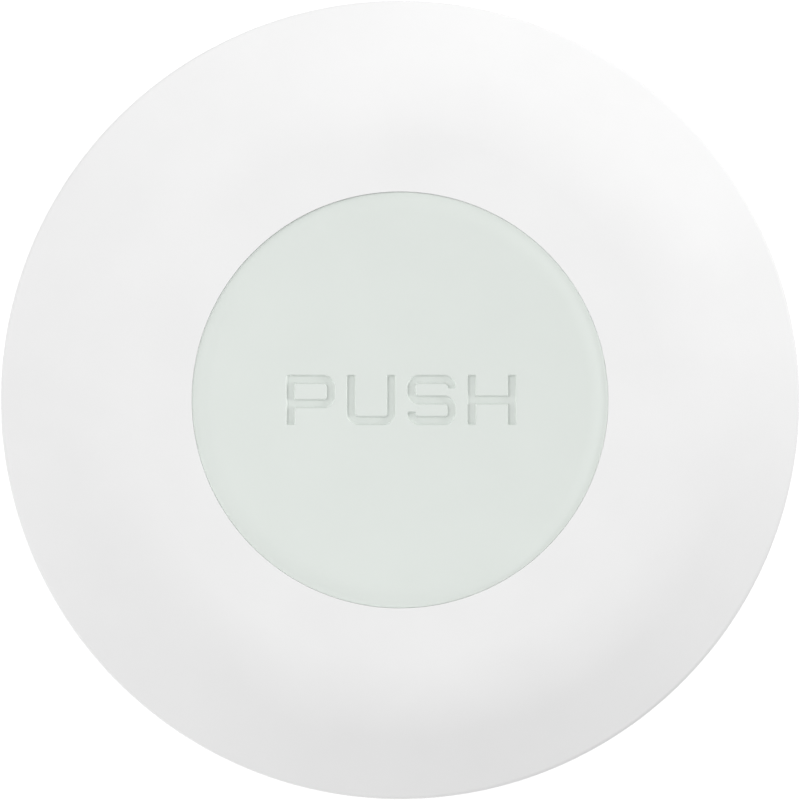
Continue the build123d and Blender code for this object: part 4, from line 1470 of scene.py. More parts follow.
@dataclass(frozen=True)
class PressPad:
    """Soft pad of the press disc: a shallow dish with a rolled edge and a sunk word."""

    word: Word = Word()
    dish_depth: float = 0.8
    roll_width: float = 2.0
    roll_radius: float = 4.2
    edge_round: float = 0.07
    lower_round: float = 0.12
    segments: int = 240
    field_radius: float = 18.2  # the free triangles lie inside it
    ring_step: float = 0.3  # between the rings outside it
    ring_gap: float = 0.1  # least distance between the last two rings
    roll_setback: float = 1.2  # that the rings end inside the lip, in roundings
    underside: float = 0.6  # share of the radius where the underside's ring ends
    slope_step: float = 0.004  # over which the surface's slope is measured
    same_point: float = 1e-7  # distance below which two points are one
    same_ring: float = 1e-4  # distance from the field's edge that counts as on it
    grids: tuple[Corner, ...] = (
        # spacing of a grid, and the distances from the word between which it lies
        (0.05, -0.17, 0.15),
        (0.1, -0.45, 0.3),
        (0.3, 0.25, 1.0),
        (0.9, 0.95, 99.0),
    )

    @property
    def crest_radius(self) -> float:
        """Radius where the dish meets the rolled edge."""
        return shape.disc_radius - self.roll_width

    @property
    def dish_radius(self) -> float:
        """Radius of the dish's curve."""
        return (self.crest_radius**2 + self.dish_depth**2) / (2 * self.dish_depth)

    def blank_height(self, radius: np.ndarray) -> np.ndarray:
        """Give the height of the pad without its word.

        Args:
            radius: Distances from the axis.

        Returns:
            The heights.
        """
        crest_radius = self.crest_radius
        slope = math.asin(crest_radius / self.dish_radius)
        crest = shape.top - self.roll_radius * (1 - math.cos(slope))
        dish_centre = crest - self.dish_depth + self.dish_radius
        dish = dish_centre - np.sqrt(self.dish_radius**2 - np.minimum(radius, crest_radius) ** 2)
        roll_middle = crest_radius + self.roll_radius * math.sin(slope)
        roll_centre = crest - self.roll_radius * math.cos(slope)
        reach = np.maximum(radius, crest_radius) - roll_middle
        roll = roll_centre + np.sqrt(self.roll_radius**2 - reach**2)
        return np.where(radius < crest_radius, dish, roll)

    def height(self, x: np.ndarray, y: np.ndarray) -> np.ndarray:
        """Give the height of the pad's upper face at points of the plan."""
        return self.blank_height(np.hypot(x, y)) - self.word.sink(x, y)

    def normals(self, x: np.ndarray, y: np.ndarray) -> list[Vector]:
        """Give the normals of the pad's upper face at points of the plan.

        Args:
            x: Places along X.
            y: Places along Y.

        Returns:
            The normals.
        """
        step = self.slope_step
        slopes = [
            (self.height(x + dx, y + dy) - self.height(x - dx, y - dy)) / (2 * step)
            for dx, dy in ((step, 0.0), (0.0, step))
        ]
        return [Vector((-sx, -sy, 1.0)).normalized() for sx, sy in zip(*slopes)]

    def columns(self, pitch: float) -> np.ndarray:
        """Place the columns of a grid in step with each letter.

        Args:
            pitch: Distance between them.

        Returns:
            Their places along X.
        """
        middles, far, half = self.word.middles(), self.field_radius, self.word.pitch / 2
        placed = []
        for place, middle in enumerate(middles):
            low = -far - middle if place == 0 else -half
            high = far - middle if place == len(middles) - 1 else half
            steps = np.arange(math.ceil(low / pitch), math.ceil(high / pitch))
            placed.append(middle + steps * pitch)
        return np.concatenate(placed)

    def field_points(self) -> np.ndarray:
        """Spread the points of the middle field, closer together near the word.

        Returns:
            Their places in the plan, one row each.
        """
        ring = np.arange(self.segments) * math.tau / self.segments
        spread = [np.column_stack([np.cos(ring), np.sin(ring)]) * self.field_radius]
        taken = set()
        finest = self.grids[0][0]
        for pitch, low, high in self.grids:
            count = math.ceil(self.field_radius / pitch)
            rows = np.arange(-count, count + 1) * pitch
            x, y = (a.ravel() for a in np.meshgrid(self.columns(pitch), rows))
            away = self.word.distance(x, y)
            inside = np.hypot(x, y) < self.field_radius - pitch / 2
            kept = (away >= low) & (away < high) & inside
            fresh = []
            for px, py in zip(x[kept], y[kept]):
                key = (round(px / finest), round(py / finest))
                if key not in taken:
                    taken.add(key)
                    fresh.append((px, py))
            spread.append(np.array(fresh))
        return np.concatenate(spread)

    def edge_profile(self) -> Profile:
        """Draw the pad from the field's edge over its rolled edge to inside its underside.

        Returns:
            Its points.
        """
        lip, bottom = shape.disc_radius, span("push_pad")[0].z
        roll_end = lip - self.roll_setback * self.edge_round
        count = math.ceil((lip - self.field_radius) / self.ring_step)
        radii = [self.field_radius + self.ring_step * k for k in range(1, count)]
        radii = [r for r in radii if r < roll_end - self.ring_gap] + [roll_end]
        top = [(r, float(self.blank_height(np.array(r)))) for r in radii]
        slope = (top[-1][1] - top[-2][1]) / (top[-1][0] - top[-2][0])
        corners = [
            *((r, z, 0.0) for r, z in top),
            (lip, top[-1][1] + slope * (lip - roll_end), self.edge_round),
            (lip, bottom, self.lower_round),
            (lip * self.underside, bottom, 0.0),
        ]
        return rounded(corners, closed=False)

    def build(self) -> None:
        """Make the pad."""
        flat = [Vector(p) for p in self.field_points()]
        found = delaunay_2d_cdt(flat, [], [], 0, self.same_point)
        plan = np.array([tuple(p) for p in found[0]])
        x, y = plan[:, 0], plan[:, 1]
        points = list(zip(x, y, self.height(x, y)))
        normals = self.normals(x, y)
        faces = [list(face) for face in found[2]]
        ring = sorted(
            np.flatnonzero(np.abs(np.hypot(x, y) - self.field_radius) < self.same_ring).tolist(),
            key=lambda k: math.atan2(plan[k][1], plan[k][0]) % math.tau,
        )
        before = (self.field_radius, points[ring[0]][2])
        profile = self.edge_profile()
        angles = np.arange(self.segments) * math.tau / self.segments
        for place, (radius, height) in enumerate(profile):
            after = profile[min(place + 1, len(profile) - 1)]
            across, up = after[0] - before[0], after[1] - before[1]
            fresh = list(range(len(points), len(points) + self.segments))
            for angle in angles:
                points.append((radius * math.cos(angle), radius * math.sin(angle), height))
                normal = Vector((-up * math.cos(angle), -up * math.sin(angle), across))
                normals.append(normal.normalized())
            for k in range(self.segments):
                nearby = (k + 1) % self.segments
                faces.append([ring[k], fresh[k], fresh[nearby], ring[nearby]])
            ring, before = fresh, (radius, height)
        faces.append(ring[::-1])
        mesh = mesh_from("pad", points, [], faces)
        face_outwards(mesh)
        mesh.shade_smooth()
        mesh.normals_split_custom_set_from_vertices(normals)
        pad = object_from(mesh)
        hand_over(pad, "pad", Body.BUTTON, "press_pad", "push_pad", even_normals=False)


@dataclass(frozen=True)
class Base:
    """White base with its spigot, battery collar, screw wells, probe seats and sound ports."""

    flange_setback: float = 0.2
    flange_top: float = 3.4
    floor_top: float = 3.5
    edge_round: float = 1.1
    spigot_top: float = 8.5
    groove_low: float = 5.0
    groove_high: float = 6.6
    groove_depth: float = 1.0
    door_bore: float = 16.6
    collar_radius: float = 18.5
    collar_inner: float = 14.05
    collar_top: float = 8.4
    roof_bottom: float = 5.2
    well_radius: float = 2.6
    well_depth: float = 2.8
    well_wall: float = 1.2
    well_round: float = 0.3
    web: float = 2.0
    screw_hole: float = 1.35
    screw_hole_lead: float = 0.2  # that its tool starts below the well's floor
    probe_hole: float = 1.3
    probe_seat: float = 2.35
    probe_seat_depth: float = 1.0
    probe_seat_round: float = 0.12
    probe_boss: float = 3.0
    probe_boss_top: float = 6.4
    post_circle: float = 26.0
    post_angle: float = 60.0
    post_radius: float = 2.6
    post_top: float = 10.5
    post_pilot: float = 0.8
    post_pilot_depth: float = 5.0
    port_radius: float = 0.6
    port_circle: float = 2.4
    port_count: int = 6
    port_round: float = 0.15
    mark_circle: float = 18.5
    mark_radius: float = 0.8
    mark_ring: float = 0.35
    mark_depth: float = 0.25
    mark_round: float = 0.08
    mark_ring_round: float = 0.06
    mark_lead: float = 0.3  # that the ring's tool starts below the base
    lug_play: float = 1.0
    groove_turn: float = 62.0
    groove_width: float = 1.5
    groove_reach: float = 15.25
    groove_round: float = 0.2
    groove_lead: float = 0.4  # that their tool starts inside the collar
    groove_steps: int = 32
    segments: int = 288

    def profile(self) -> Profile:
        """Draw the base, from the door's bore outwards and back over the collar.

        Returns:
            Its points.
        """
        flange = shape.side_radius(shape.cover_bottom) - self.flange_setback
        spigot, bottom = shape.spigot_radius, shape.base_bottom
        inner, groove = spigot - shape.spigot_wall, spigot - self.groove_depth
        corners = [
            (self.door_bore, bottom, 0.25),
            (flange, bottom, self.edge_round),
            (flange, self.flange_top, 0.15),
            (spigot, self.flange_top, 0.1),
            (spigot, self.groove_low, 0.1),
            (groove, self.groove_low, 0.2),
            (groove, self.groove_high, 0.2),
            (spigot, self.groove_high, 0.1),
            (spigot, self.spigot_top, 0.4),
            (inner, self.spigot_top, 0.3),
            (inner, self.floor_top, 0.5),
            (self.collar_radius, self.floor_top, 0.4),
            (self.collar_radius, self.collar_top, 0.3),
            (self.collar_inner, self.collar_top, 0.2),
            (self.collar_inner, self.roof_bottom, 0.1),
            (self.door_bore, self.roof_bottom, 0.1),
        ]
        return rounded(corners)

    def in_threes(self) -> list[tuple[Piece, float, float, Cut]]:
        """Make the tools of what stands three times round the axis.

        Returns:
            Each tool with its circle, its first angle and what it does.
        """
        bottom, low = shape.base_bottom, (shape.base_bottom + self.floor_top) / 2
        seat = bottom + self.well_depth
        well_top = seat + self.web
        boss_top, post_top = self.probe_boss_top, self.post_top
        pilot_low = post_top - self.post_pilot_depth
        well_wall = plain_rod("well", self.well_radius + self.well_wall, low, well_top)
        boss = plain_rod("boss", self.probe_boss, low, boss_top)
        post = plain_rod("post", self.post_radius, low, post_top)
        well_sizes = (self.well_radius, bottom, self.well_depth, self.well_round)
        well = bore("well", *well_sizes, segments=96)
        hole_low = seat - self.screw_hole_lead
        hole = plain_rod("hole", self.screw_hole, hole_low, well_top + OVERRUN)
        seat_sizes = (self.probe_seat, bottom, self.probe_seat_depth, self.probe_seat_round)
        probe_seat = bore("seat", *seat_sizes, segments=72)
        shank = plain_rod("shank", self.probe_hole, bottom, boss_top + OVERRUN)
        pilot = plain_rod("pilot", self.post_pilot, pilot_low, post_top + OVERRUN)
        screws = (shape.screw_circle, shape.screw_angle)
        probes = (shape.probe_circle, shape.probe_angle)
        posts = (self.post_circle, self.post_angle)
        return [
            (well_wall, *screws, Cut.JOIN),
            (boss, *probes, Cut.JOIN),
            (post, *posts, Cut.JOIN),
            (well, *screws, Cut.REMOVE),
            (hole, *screws, Cut.REMOVE),
            (probe_seat, *probes, Cut.REMOVE),
            (shank, *probes, Cut.REMOVE),
            (pilot, *posts, Cut.REMOVE),
        ]

    def groove(self) -> Piece:
        """Make the tool for one helical groove of the battery door's lugs.

        Returns:
            The tool.
        """
        start = -shape.lug_angle / 2 - self.groove_turn
        end = shape.lug_angle / 2 + self.lug_play
        inner, steps = self.collar_inner - self.groove_lead, self.groove_steps
        section = (inner, self.groove_reach, self.groove_width / 2, self.groove_round)
        angles = [start + (end - start) * step / steps for step in range(steps + 1)]
        return loft("groove", [shape.helix_ring(*section, angle) for angle in angles])

    def ports(self) -> list[Piece]:
        """Make the tools for the sound ports below the buzzer.

        Returns:
            The tool of the ring of ports, and of the middle one.
        """
        low, high = span("port_membrane")
        middle = ((low.x + high.x) / 2, 0.0)
        depth = self.floor_top - shape.base_bottom + OVERRUN
        sizes = (self.port_radius, shape.base_bottom, depth, self.port_round)
        ring, single = (bore("port", *sizes, segments=40) for _ in range(2))
        ring = shop.repeat(ring, self.port_circle, count=self.port_count)
        return [moved(port, middle) for port in (ring, single)]

    def marks(self) -> list[Piece]:
        """Make the tools for the mark of the shut door, and for that of the open one.

        Returns:
            The two tools.
        """
        bottom, outer, depth = shape.base_bottom, self.mark_radius, self.mark_depth
        inner, low, high = outer - self.mark_ring, bottom - self.mark_lead, bottom + depth
        edge = self.mark_ring_round
        ring = [(inner, low, 0.0), (outer, low, 0.0), (outer, high, edge), (inner, high, edge)]
        dot = bore("mark", outer, bottom, depth, self.mark_round, segments=48)
        shut = moved(dot, polar(self.mark_circle, -90.0))
        circle = shop.turn("mark", rounded(ring), 48)
        return [shut, moved(circle, polar(self.mark_circle, -90.0 - self.groove_turn))]

    def build(self) -> None:
        """Make the base."""
        base = shop.turn("base_shell", self.profile(), self.segments)
        for tool, circle, angle, cut in self.in_threes():
            shop.work(base, shop.repeat(tool, circle, angle), cut)
        for tool in (*self.ports(), shop.repeat(self.groove(), 0.0), *self.marks()):
            shop.work(base, tool, Cut.REMOVE)
        hand_over(base, "base_shell", Body.HOUSING, "base_white", "base")


@dataclass(frozen=True)
class BatteryDoor:
    """Round door with a coin slot, a seal groove and three helical lugs."""

    neck_radius: float = 13.85
    neck_inner: float = 12.65
    neck_top: float = 7.5
    flange_top: float = 4.9
    floor_top: float = 3.9
    groove_low: float = 2.6
    groove_high: float = 4.0
    groove_depth: float = 1.05
    slot_length: float = 17.0
    slot_width: float = 2.0
    slot_depth: float = 1.2
    slot_round: float = 0.25
    slot_mouth: Point = (1.6, 0.12)  # its tool's reach out and down, in roundings
    slot_start: float = 10.0  # degrees off level where the mouth's rounding starts
    pointer_inset: float = 1.7
    pointer_size: float = 0.9
    pointer_round: float = 0.12
    pointer_rings: tuple[Point, ...] = (
        # size as a share, and height over the door's face
        (1.25, -0.5),
        (1.2, -0.03),
        (1.0, 0.1),
        (0.92, 0.25),
    )
    lug_sunk: float = 0.4
    lug_reach: float = 1.25
    lug_thickness: float = 1.2
    lug_round: float = 0.2
    lug_end: float = 0.45  # share of its height that a lug has at its ends
    lug_taper: float = 5.0  # that this share grows by, per length of the lug
    lug_lead_in: float = 0.2  # share that its reach is ahead of its height
    lug_steps: int = 20
    segments: int = 224

    @property
    def face(self) -> float:
        """Height of the door's outer face."""
        return span("battery_door")[0].z

    @property
    def radius(self) -> float:
        """Radius of the door's flange."""
        return span("battery_door")[1].x

    def profile(self) -> Profile:
        """Draw the door, from the middle of its outer face round to the middle of its floor.

        Returns:
            Its points.
        """
        groove = self.radius - self.groove_depth
        corners = [
            (0.0, self.face, 0.0),
            (self.radius, self.face, 0.35),
            (self.radius, self.groove_low, 0.1),
            (groove, self.groove_low, 0.2),
            (groove, self.groove_high, 0.2),
            (self.radius, self.groove_high, 0.1),
            (self.radius, self.flange_top, 0.15),
            (self.neck_radius, self.flange_top, 0.2),
            (self.neck_radius, self.neck_top, 0.3),
            (self.neck_inner, self.neck_top, 0.3),
            (self.neck_inner, self.floor_top, 0.4),
            (0.0, self.floor_top, 0.0),
        ]
        return rounded(corners, closed=False)

    def lug(self) -> Piece:
        """Make one helical lug, tapered at both ends.

        Returns:
            The lug.
        """
        rings = []
        inner = self.neck_radius - self.lug_sunk
        for step in range(self.lug_steps + 1):
            share = step / self.lug_steps
            taper = min(1.0, self.lug_end + self.lug_taper * min(share, 1.0 - share))
            outer = self.neck_radius + self.lug_reach * min(1.0, taper + self.lug_lead_in)
            section = (inner, outer, self.lug_thickness / 2 * taper, self.lug_round * taper)
            rings.append(shape.helix_ring(*section, (share - 0.5) * shape.lug_angle))
        return loft("lug", rings)

    def slot(self) -> Piece:
        """Make the tool for the coin slot, with a rounded mouth and floor.

        Returns:
            The tool.
        """
        flare = self.slot_round
        floor = self.face + self.slot_depth
        reach, drop = (flare * share for share in self.slot_mouth)
        rings = [(reach, self.face - 2 * OVERRUN), (reach, self.face - drop)]
        mouth_steps, floor_steps, first = 7, 5, self.slot_start
        for step in range(1, mouth_steps + 1):
            turn = math.radians(first + (90.0 - first) * step / mouth_steps)
            rings.append((flare * (1 - math.sin(turn)), self.face + flare * (1 - math.cos(turn))))
        for step in range(floor_steps + 1):
            turn = QUARTER * step / floor_steps
            rings.append((-flare * (1 - math.cos(turn)), floor - flare * (1 - math.sin(turn))))
        outlines = [(stadium(self.slot_length, self.slot_width, grow), z) for grow, z in rings]
        return loft("slot", [level_ring(*outline) for outline in outlines])

    def pointer(self) -> Piece:
        """Make the tool for the small sunk triangle that points at the marks.

        Returns:
            The tool.
        """
        middle = polar(self.radius - self.pointer_inset, -90.0)
        rings = []
        for grow, rise in self.pointer_rings:
            corners = [polar(self.pointer_size * grow, -90.0 + 120.0 * k) for k in range(3)]
            edge = self.pointer_round
            outline = rounded([(x + middle[0], y + middle[1], edge) for x, y in corners])
            rings.append(level_ring(outline, self.face + rise))
        return loft("pointer", rings)

    def build(self) -> None:
        """Make the door."""
        door = shop.turn("door", self.profile(), self.segments, closed=False)
        shop.work(door, shop.repeat(self.lug(), 0.0), Cut.JOIN)
        shop.work(door, self.slot(), Cut.REMOVE)
        shop.work(door, self.pointer(), Cut.REMOVE)
        hand_over(door, "door", Body.DOOR, "base_white", "battery_door")


@dataclass(frozen=True)
class Probes:
    """Three turned metal pins that the sensor stands on."""

    head_radius: float = 3.0
    tip_radius: float = 1.6
    rim: float = 0.4
    dome: float = 3.0
    shank: float = 1.25
    clearance: float = 0.02  # between the head and the base
    segments: int = 96

    def profile(self) -> Profile:
        """Draw a pin, from the middle of its tip to the middle of its upper end.

        Returns:
            Its points.
        """
        head_top, end = shape.base_bottom, span("probe_1")[1].z
        seat = head_top - self.clearance
        tip = np.array((self.tip_radius, 0.0))
        edge = np.array((self.head_radius, head_top - self.rim))
        chord = edge - tip
        length = float(np.hypot(*chord))
        rise = math.sqrt(self.dome**2 - (length / 2) ** 2)
        centre = (tip + edge) / 2 + np.array((-chord[1], chord[0])) / length * rise
        angles = [math.atan2(*(p - centre)[::-1]) for p in (tip, edge)]
        curve = arc(tuple(centre), self.dome, *angles, 9)
        corners = [
            (0.0, 0.0, 0.0),
            (self.tip_radius - 0.12, 0.0, 0.0),
            *((x, y, 0.0) for x, y in curve[1:-1]),
            (float(edge[0]), float(edge[1]), 0.08),
            (self.head_radius, seat, 0.06),
            (self.shank, seat, 0.1),
            (self.shank, end, 0.3),
            (0.0, end, 0.0),
        ]
        return rounded(corners, closed=False)

    def build(self) -> None:
        """Make the pins."""
        pin = shop.turn("pin", self.profile(), self.segments, closed=False)
        pins = shop.repeat(pin, shape.probe_circle, shape.probe_angle)
        nodes = ("probe_1", "probe_2", "probe_3")
        hand_over(pins, "probes", Body.HOUSING, "probe_steel", *nodes)


@dataclass(frozen=True)
class CaseScrews:
    """Three screws with a cross recess, up through the base into the cover."""

    head_height: float = 1.8
    head_flat: float = 0.72  # share of the head's radius that its flat face takes
    head_side: float = 0.5  # share of its height that its straight side starts at
    core: float = 0.82
    crest: float = 1.05
    pitch: float = 0.9
    thread_half: float = 0.28  # half a thread's root, as a share of the pitch
    tip: float = 1.2
    recess_reach: float = 1.35
    recess_width: float = 0.62
    recess_depth: float = 1.0
    recess_end: float = 0.55  # share of its reach that the recess keeps at its end
    own_turn: float = 90.0  # most that a screw is turned by chance, in degrees
    seed: int = 4
    segments: int = 64

    def profile(self) -> Profile:
        """Draw a screw, from the middle of its head to its tip.

        Returns:
            Its points.
        """
        low, high = span("case_screws")
        seat = low.z + self.head_height
        head = shape.screw_head
        corners = [
            (0.0, low.z, 0.0),
            (head * self.head_flat, low.z, 0.9),
            (head, low.z + self.head_height * self.head_side, 0.35),
            (head, seat, 0.1),
            (self.core, seat, 0.08),
        ]
        half = self.pitch * self.thread_half
        for turn in range(int((high.z - self.tip - seat) / self.pitch)):
            height = seat + (turn + 0.5) * self.pitch
            corners.append((self.core, height - half, 0.0))
            corners.append((self.crest, height, 0.03))
            corners.append((self.core, height + half, 0.0))
        corners += [(self.core, high.z - self.tip, 0.0), (0.0, high.z, 0.0)]
        return rounded(corners, closed=False)

    def recess(self) -> Piece:
        """Make the tool for the cross recess, which narrows on its way in.

        Returns:
            The tool.
        """
        low, end = span("case_screws")[0].z, self.recess_end
        rings = []
        for grow, height in ((1.0, low - OVERRUN), (1.0, low), (end, low + self.recess_depth)):
            half = self.recess_width / 2 * (end + (1 - end) * grow)
            rings.append(level_ring(cross(self.recess_reach * grow, half), height))
        return loft("recess", rings)

    def build(self) -> None:
        """Make the screws."""
        screw = shop.turn("screw", self.profile(), self.segments, closed=False)
        shop.work(screw, self.recess(), Cut.REMOVE)
        chance = {"own_turn": self.own_turn, "seed": self.seed}
        screws = shop.repeat(screw, shape.screw_circle, shape.screw_angle, **chance)
        hand_over(screws, "screws", Body.HOUSING, "zinc_screw", "case_screws")


@dataclass(frozen=True)
class ReturnSpring:
    """Coil spring that lifts the press disc."""

    coil_radius: float = 3.5
    wire: float = 0.15
    turns: float = 2.25

    def build(self) -> None:
        """Make the spring."""
        low, high = span("return_spring")
        spring = shop.coil.run(
            bpy.data.meshes.new("spring"),
            Turns=self.turns,
            Coil_Radius=self.coil_radius,
            Wire_Radius=self.wire,
            Rise=high.z - low.z - 2 * self.wire,
            Start=(0.0, 0.0, low.z + self.wire),
        )
        hand_over(spring, "spring", Body.HOUSING, "spring_steel", "return_spring")
        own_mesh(spring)


@dataclass(frozen=True)
class Battery:
    """Coin battery: a can crimped over the smaller cap, with a plus sunk in its face."""

    step: float = 0.4
    cap_inset: float = 2.2
    can_edge: Point = (0.9, 0.35)  # width and height of the can's lower edge
    crimp: Point = (0.35, 0.15)  # width and height of its crimped edge
    gasket: float = 0.35
    gasket_depth: float = 0.25
    plus_reach: float = 2.2
    plus_width: float = 0.7
    plus_depth: float = 0.12
    segments: int = 160

    def profile(self) -> Profile:
        """Draw the battery, from the middle of the can's face to the middle of the cap.

        Returns:
            Its points.
        """
        low, high = span("coin_battery")
        radius = high.x
        cap = radius - self.cap_inset
        shoulder = high.z - self.step
        sunk = shoulder - self.gasket_depth
        corners = [
            (0.0, low.z, 0.0),
            (radius - self.can_edge[0], low.z, 0.3),
            (radius, low.z + self.can_edge[1], 0.35),
            (radius, shoulder - self.crimp[1], 0.2),
            (radius - self.crimp[0], shoulder, 0.2),
            (cap + self.gasket, shoulder, 0.1),
            (cap + self.gasket, sunk, 0.0),
            (cap, sunk, 0.0),
            (cap, high.z, 0.25),
            (0.0, high.z, 0.0),
        ]
        return rounded(corners, closed=False)

    def build(self) -> None:
        """Make the battery."""
        battery = shop.turn("battery", self.profile(), self.segments, closed=False)
        low = span("coin_battery")[0].z
        outline = cross(self.plus_reach, self.plus_width / 2)
        ends = (low - OVERRUN, low + self.plus_depth)
        plus = loft("plus", [level_ring(outline, height) for height in ends])
        shop.work(battery, plus, Cut.REMOVE)
        hand_over(battery, "battery", Body.HOUSING, "battery_steel", "coin_battery")


@dataclass(frozen=True)
class InnerParts:
    """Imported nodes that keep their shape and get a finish."""

    def finish(self, slot: str) -> Finish:
        """Choose a slot's finish, with lines that need no place of their own on the piece."""
        chosen = finishes[slot]
        return replace(chosen, lay=Lay.PLATED) if chosen.arrayed else chosen

    def build(self) -> None:
        """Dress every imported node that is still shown."""
        slots = {row["node"]: row["material_slot"] for row in frame["record"]["subparts"]}
        made = {slot: self.finish(slot).material() for slot in sorted(set(slots.values()))}
        for name, node in sorted(frame["nodes"].items()):
            node.data.materials.clear()
            node.data.materials.append(made[slots[name]])
            if not node.hide_render:
                log.info("%s keeps its shape, in %s", name, slots[name])


@dataclass(frozen=True)
class Lamp:
    """Soft square lamp that looks at the sensor."""

    name: str
    azimuth: float  # degrees from +X towards +Y
    tilt: float  # degrees away from straight above
    level: float  # light on a level face, as a share of white
    distance: float
    size: float

    def build(self, lit: Optional[Listed] = None, blocking: Optional[Listed] = None) -> Piece:
        """Make the lamp.

        Args:
            lit: List of the pieces that it lights, if not all.
            blocking: List of the pieces that block its light, if not all.

        Returns:
            The lamp.
        """
        light = bpy.data.lights.new(self.name, "AREA")
        light.shape = "SQUARE"
        light.size = self.size * MM
        away = self.distance * MM
        light.energy = self.level * math.pi**2 * away**2 / math.cos(math.radians(self.tilt))
        lamp = bpy.data.objects.new(self.name, light)
        bpy.context.scene.collection.objects.link(lamp)
        flat = polar(math.sin(math.radians(self.tilt)), self.azimuth)
        back = Vector((*flat, math.cos(math.radians(self.tilt))))
        lamp.location = back * away
        lamp.visible_camera = False
        lamp.visible_glossy = False
        lamp.rotation_mode = "QUATERNION"
        lamp.rotation_quaternion = (-back).to_track_quat("-Z", "Y")
        lamp.light_linking.receiver_collection = lit
        lamp.light_linking.blocker_collection = blocking
        return lamp


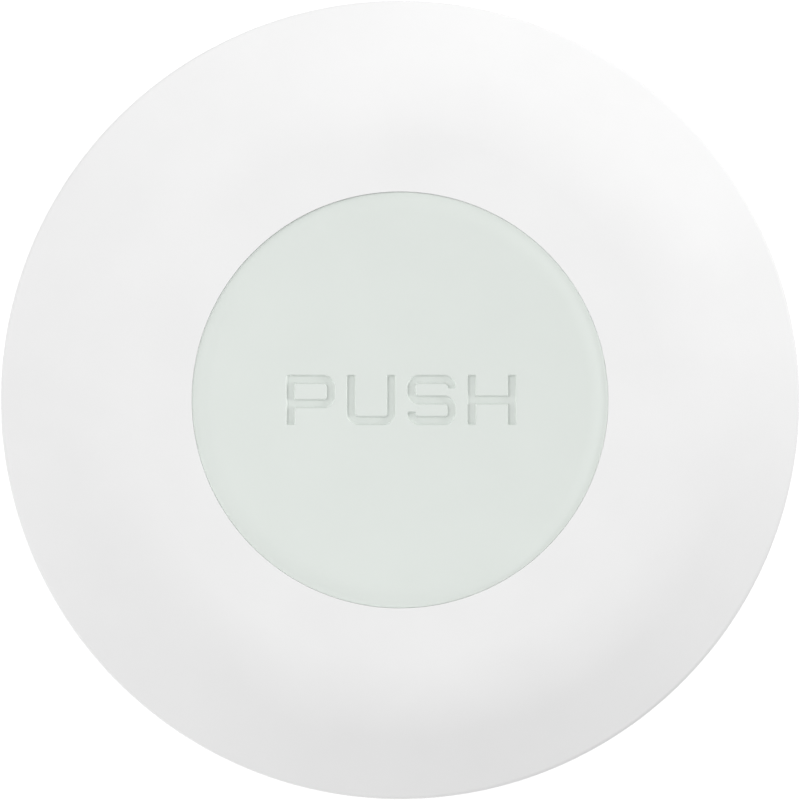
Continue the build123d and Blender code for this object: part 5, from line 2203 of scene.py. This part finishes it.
@dataclass(frozen=True)
class Studio:
    """Pale floor, soft light and a camera straight above."""

    fill: float = 0.71  # strength of the light from all round
    fill_below: float = 0.1  # and from below the floor
    fill_edge: float = 0.01  # half the height over which one passes into the other
    floor_size: float = 12000.0
    floor_white: float = 0.5
    floor_lift: float = 0.66  # added to the floor where it is seen
    camera_distance: float = 1000.0
    view_radius: float = 40.06  # of the part of the rim's plane that the frame takes in
    sensor: float = 36.0
    lamps: tuple[Lamp, ...] = (
        Lamp("right", 42.0, 70.0, 0.135, 480.0, 230.0),
        Lamp("left", 190.0, 60.0, 0.12, 1100.0, 450.0),
        Lamp("back", 95.0, 40.0, 0.05, 300.0, 150.0),
    )
    pad_lamps: tuple[Lamp, ...] = (
        Lamp("pad_right", 0.0, 78.0, 0.102, 1100.0, 390.0),
        Lamp("pad_left", 180.0, 78.0, 0.05, 1100.0, 390.0),
        Lamp("pad_top", 150.0, 40.0, 0.155, 1100.0, 390.0),
    )
    seam_share: float = 0.5  # of the pad's light that the cover blocks
    under: Lamp = Lamp("under", 250.0, 25.0, 1.3, 600.0, 1100.0)  # stands below the floor

    def shown(self, graph: Graph, operation: str) -> Socket:
        """Tell rays that the camera sees: straight, mirrored or through glass.

        Args:
            graph: Nodes of the surface or background that they meet.
            operation: How the three kinds are put together.

        Returns:
            1 for such a ray, or more where they are added and it is of two kinds.
        """
        rays = graph.add("ShaderNodeLightPath").outputs
        other = graph.sum(operation, rays["Is Glossy Ray"], rays["Is Transmission Ray"])
        return graph.sum(operation, rays["Is Camera Ray"], other)

    def world(self) -> None:
        """Light the sensor from all round, before a white background."""
        world = bpy.data.worlds.new("studio")
        bpy.context.scene.world = world
        world.use_nodes = True
        graph = Graph(world.node_tree)
        way = graph.add("ShaderNodeTexCoord").outputs["Generated"]
        height = graph.add("ShaderNodeSeparateXYZ", way).outputs["Z"]
        ends = (-self.fill_edge, self.fill_edge, self.fill_below, self.fill)
        above = graph.out("ShaderNodeMapRange", height, *ends)
        seen = self.shown(graph, "MAXIMUM")
        strength = graph.out("ShaderNodeMapRange", seen, 0.0, 1.0, above, 1.0)
        light = graph.out("ShaderNodeBackground", (1.0, 1.0, 1.0, 1.0), strength)
        graph.add("ShaderNodeOutputWorld", light)

    def floor_material(self) -> bpy.types.Material:
        """Make the floor pale where it is seen, with shadows, and clear from below.

        Returns:
            The material.
        """
        material = bpy.data.materials.new("floor")
        material.use_nodes = True
        graph = Graph(material.node_tree)
        matt = graph.out("ShaderNodeBsdfDiffuse", (*(self.floor_white,) * 3, 1.0))
        level = graph.sum("MULTIPLY", self.shown(graph, "ADD"), self.floor_lift)
        lift = graph.out("ShaderNodeEmission", Strength=level)
        both = graph.out("ShaderNodeAddShader", matt, lift)
        behind = graph.add("ShaderNodeNewGeometry").outputs["Backfacing"]
        direct = graph.add("ShaderNodeLightPath").outputs["Is Camera Ray"]
        below = graph.sum("MULTIPLY", behind, direct)
        clear = graph.out("ShaderNodeBsdfTransparent")
        choice = graph.out("ShaderNodeMixShader", below, both, clear)
        graph.add("ShaderNodeOutputMaterial", choice)
        return material

    def floor(self) -> Piece:
        """Make the floor that the probes stand on.

        Returns:
            The floor.
        """
        half = self.floor_size / 2
        corners = [(-half, -half, 0.0), (half, -half, 0.0), (half, half, 0.0), (-half, half, 0.0)]
        floor = object_from(mesh_from("floor", corners, [], [[0, 1, 2, 3]]))
        floor.data.transform(Matrix.Scale(MM, 4))
        floor.data.materials.append(self.floor_material())
        return floor

    def camera(self) -> None:
        """Stand the camera straight above the sensor, at the photograph's angle."""
        data = bpy.data.cameras.new("camera")
        data.sensor_width = self.sensor
        data.lens = self.sensor / 2 * (self.camera_distance - shape.rim_height) / self.view_radius
        camera = bpy.data.objects.new("camera", data)
        bpy.context.scene.collection.objects.link(camera)
        camera.location.z = self.camera_distance * MM
        data.clip_start, data.clip_end = 0.01, 100.0
        bpy.context.scene.camera = camera

    def reach(self, name: str, piece: Piece, state: Reach) -> Listed:
        """List a piece as the only one that a light deals with, or as the one it passes over.

        Args:
            name: The list's name.
            piece: The piece.
            state: Which of the two it is.

        Returns:
            The list.
        """
        listed = bpy.data.collections.new(name)
        listed.objects.link(piece)
        listed.collection_objects[0].light_linking.link_state = state.value
        return listed

    def build(self) -> None:
        """Set the stage."""
        self.world()
        floor = self.floor()
        pad, cover = bpy.data.objects["pad"], bpy.data.objects["cover"]
        pad_passed = self.reach("pad_passed", pad, Reach.ALL_BUT)
        pad_alone = self.reach("pad_alone", pad, Reach.ONLY)
        cover_passed = self.reach("cover_passed", cover, Reach.ALL_BUT)
        for lamp in self.lamps:
            lamp.build(pad_passed)
        for lamp in self.pad_lamps:
            replace(lamp, level=lamp.level * self.seam_share).build(pad_alone)
            free = replace(lamp, level=lamp.level * (1 - self.seam_share))
            free.build(pad_alone, cover_passed)
        under = self.under.build(blocking=self.reach("floor_passed", floor, Reach.ALL_BUT))
        under.location.z *= -1
        facing = -under.location.normalized()
        under.rotation_quaternion = facing.to_track_quat("-Z", "Y")
        self.camera()
        bpy.context.scene.view_settings.view_transform = "Standard"
        log.info("studio: %d lamps", len(self.lamps) + 2 * len(self.pad_lamps) + 1)


def main() -> None:
    """Build every piece, then the stage."""
    logging.basicConfig(level=logging.INFO, format="%(message)s")
    pieces = (
        Cover(),
        PressPad(),
        Base(),
        BatteryDoor(),
        Probes(),
        CaseScrews(),
        ReturnSpring(),
        Battery(),
        InnerParts(),
        Studio(),
    )
    for piece in pieces:
        piece.build()


if __name__ == "__main__":
    main()
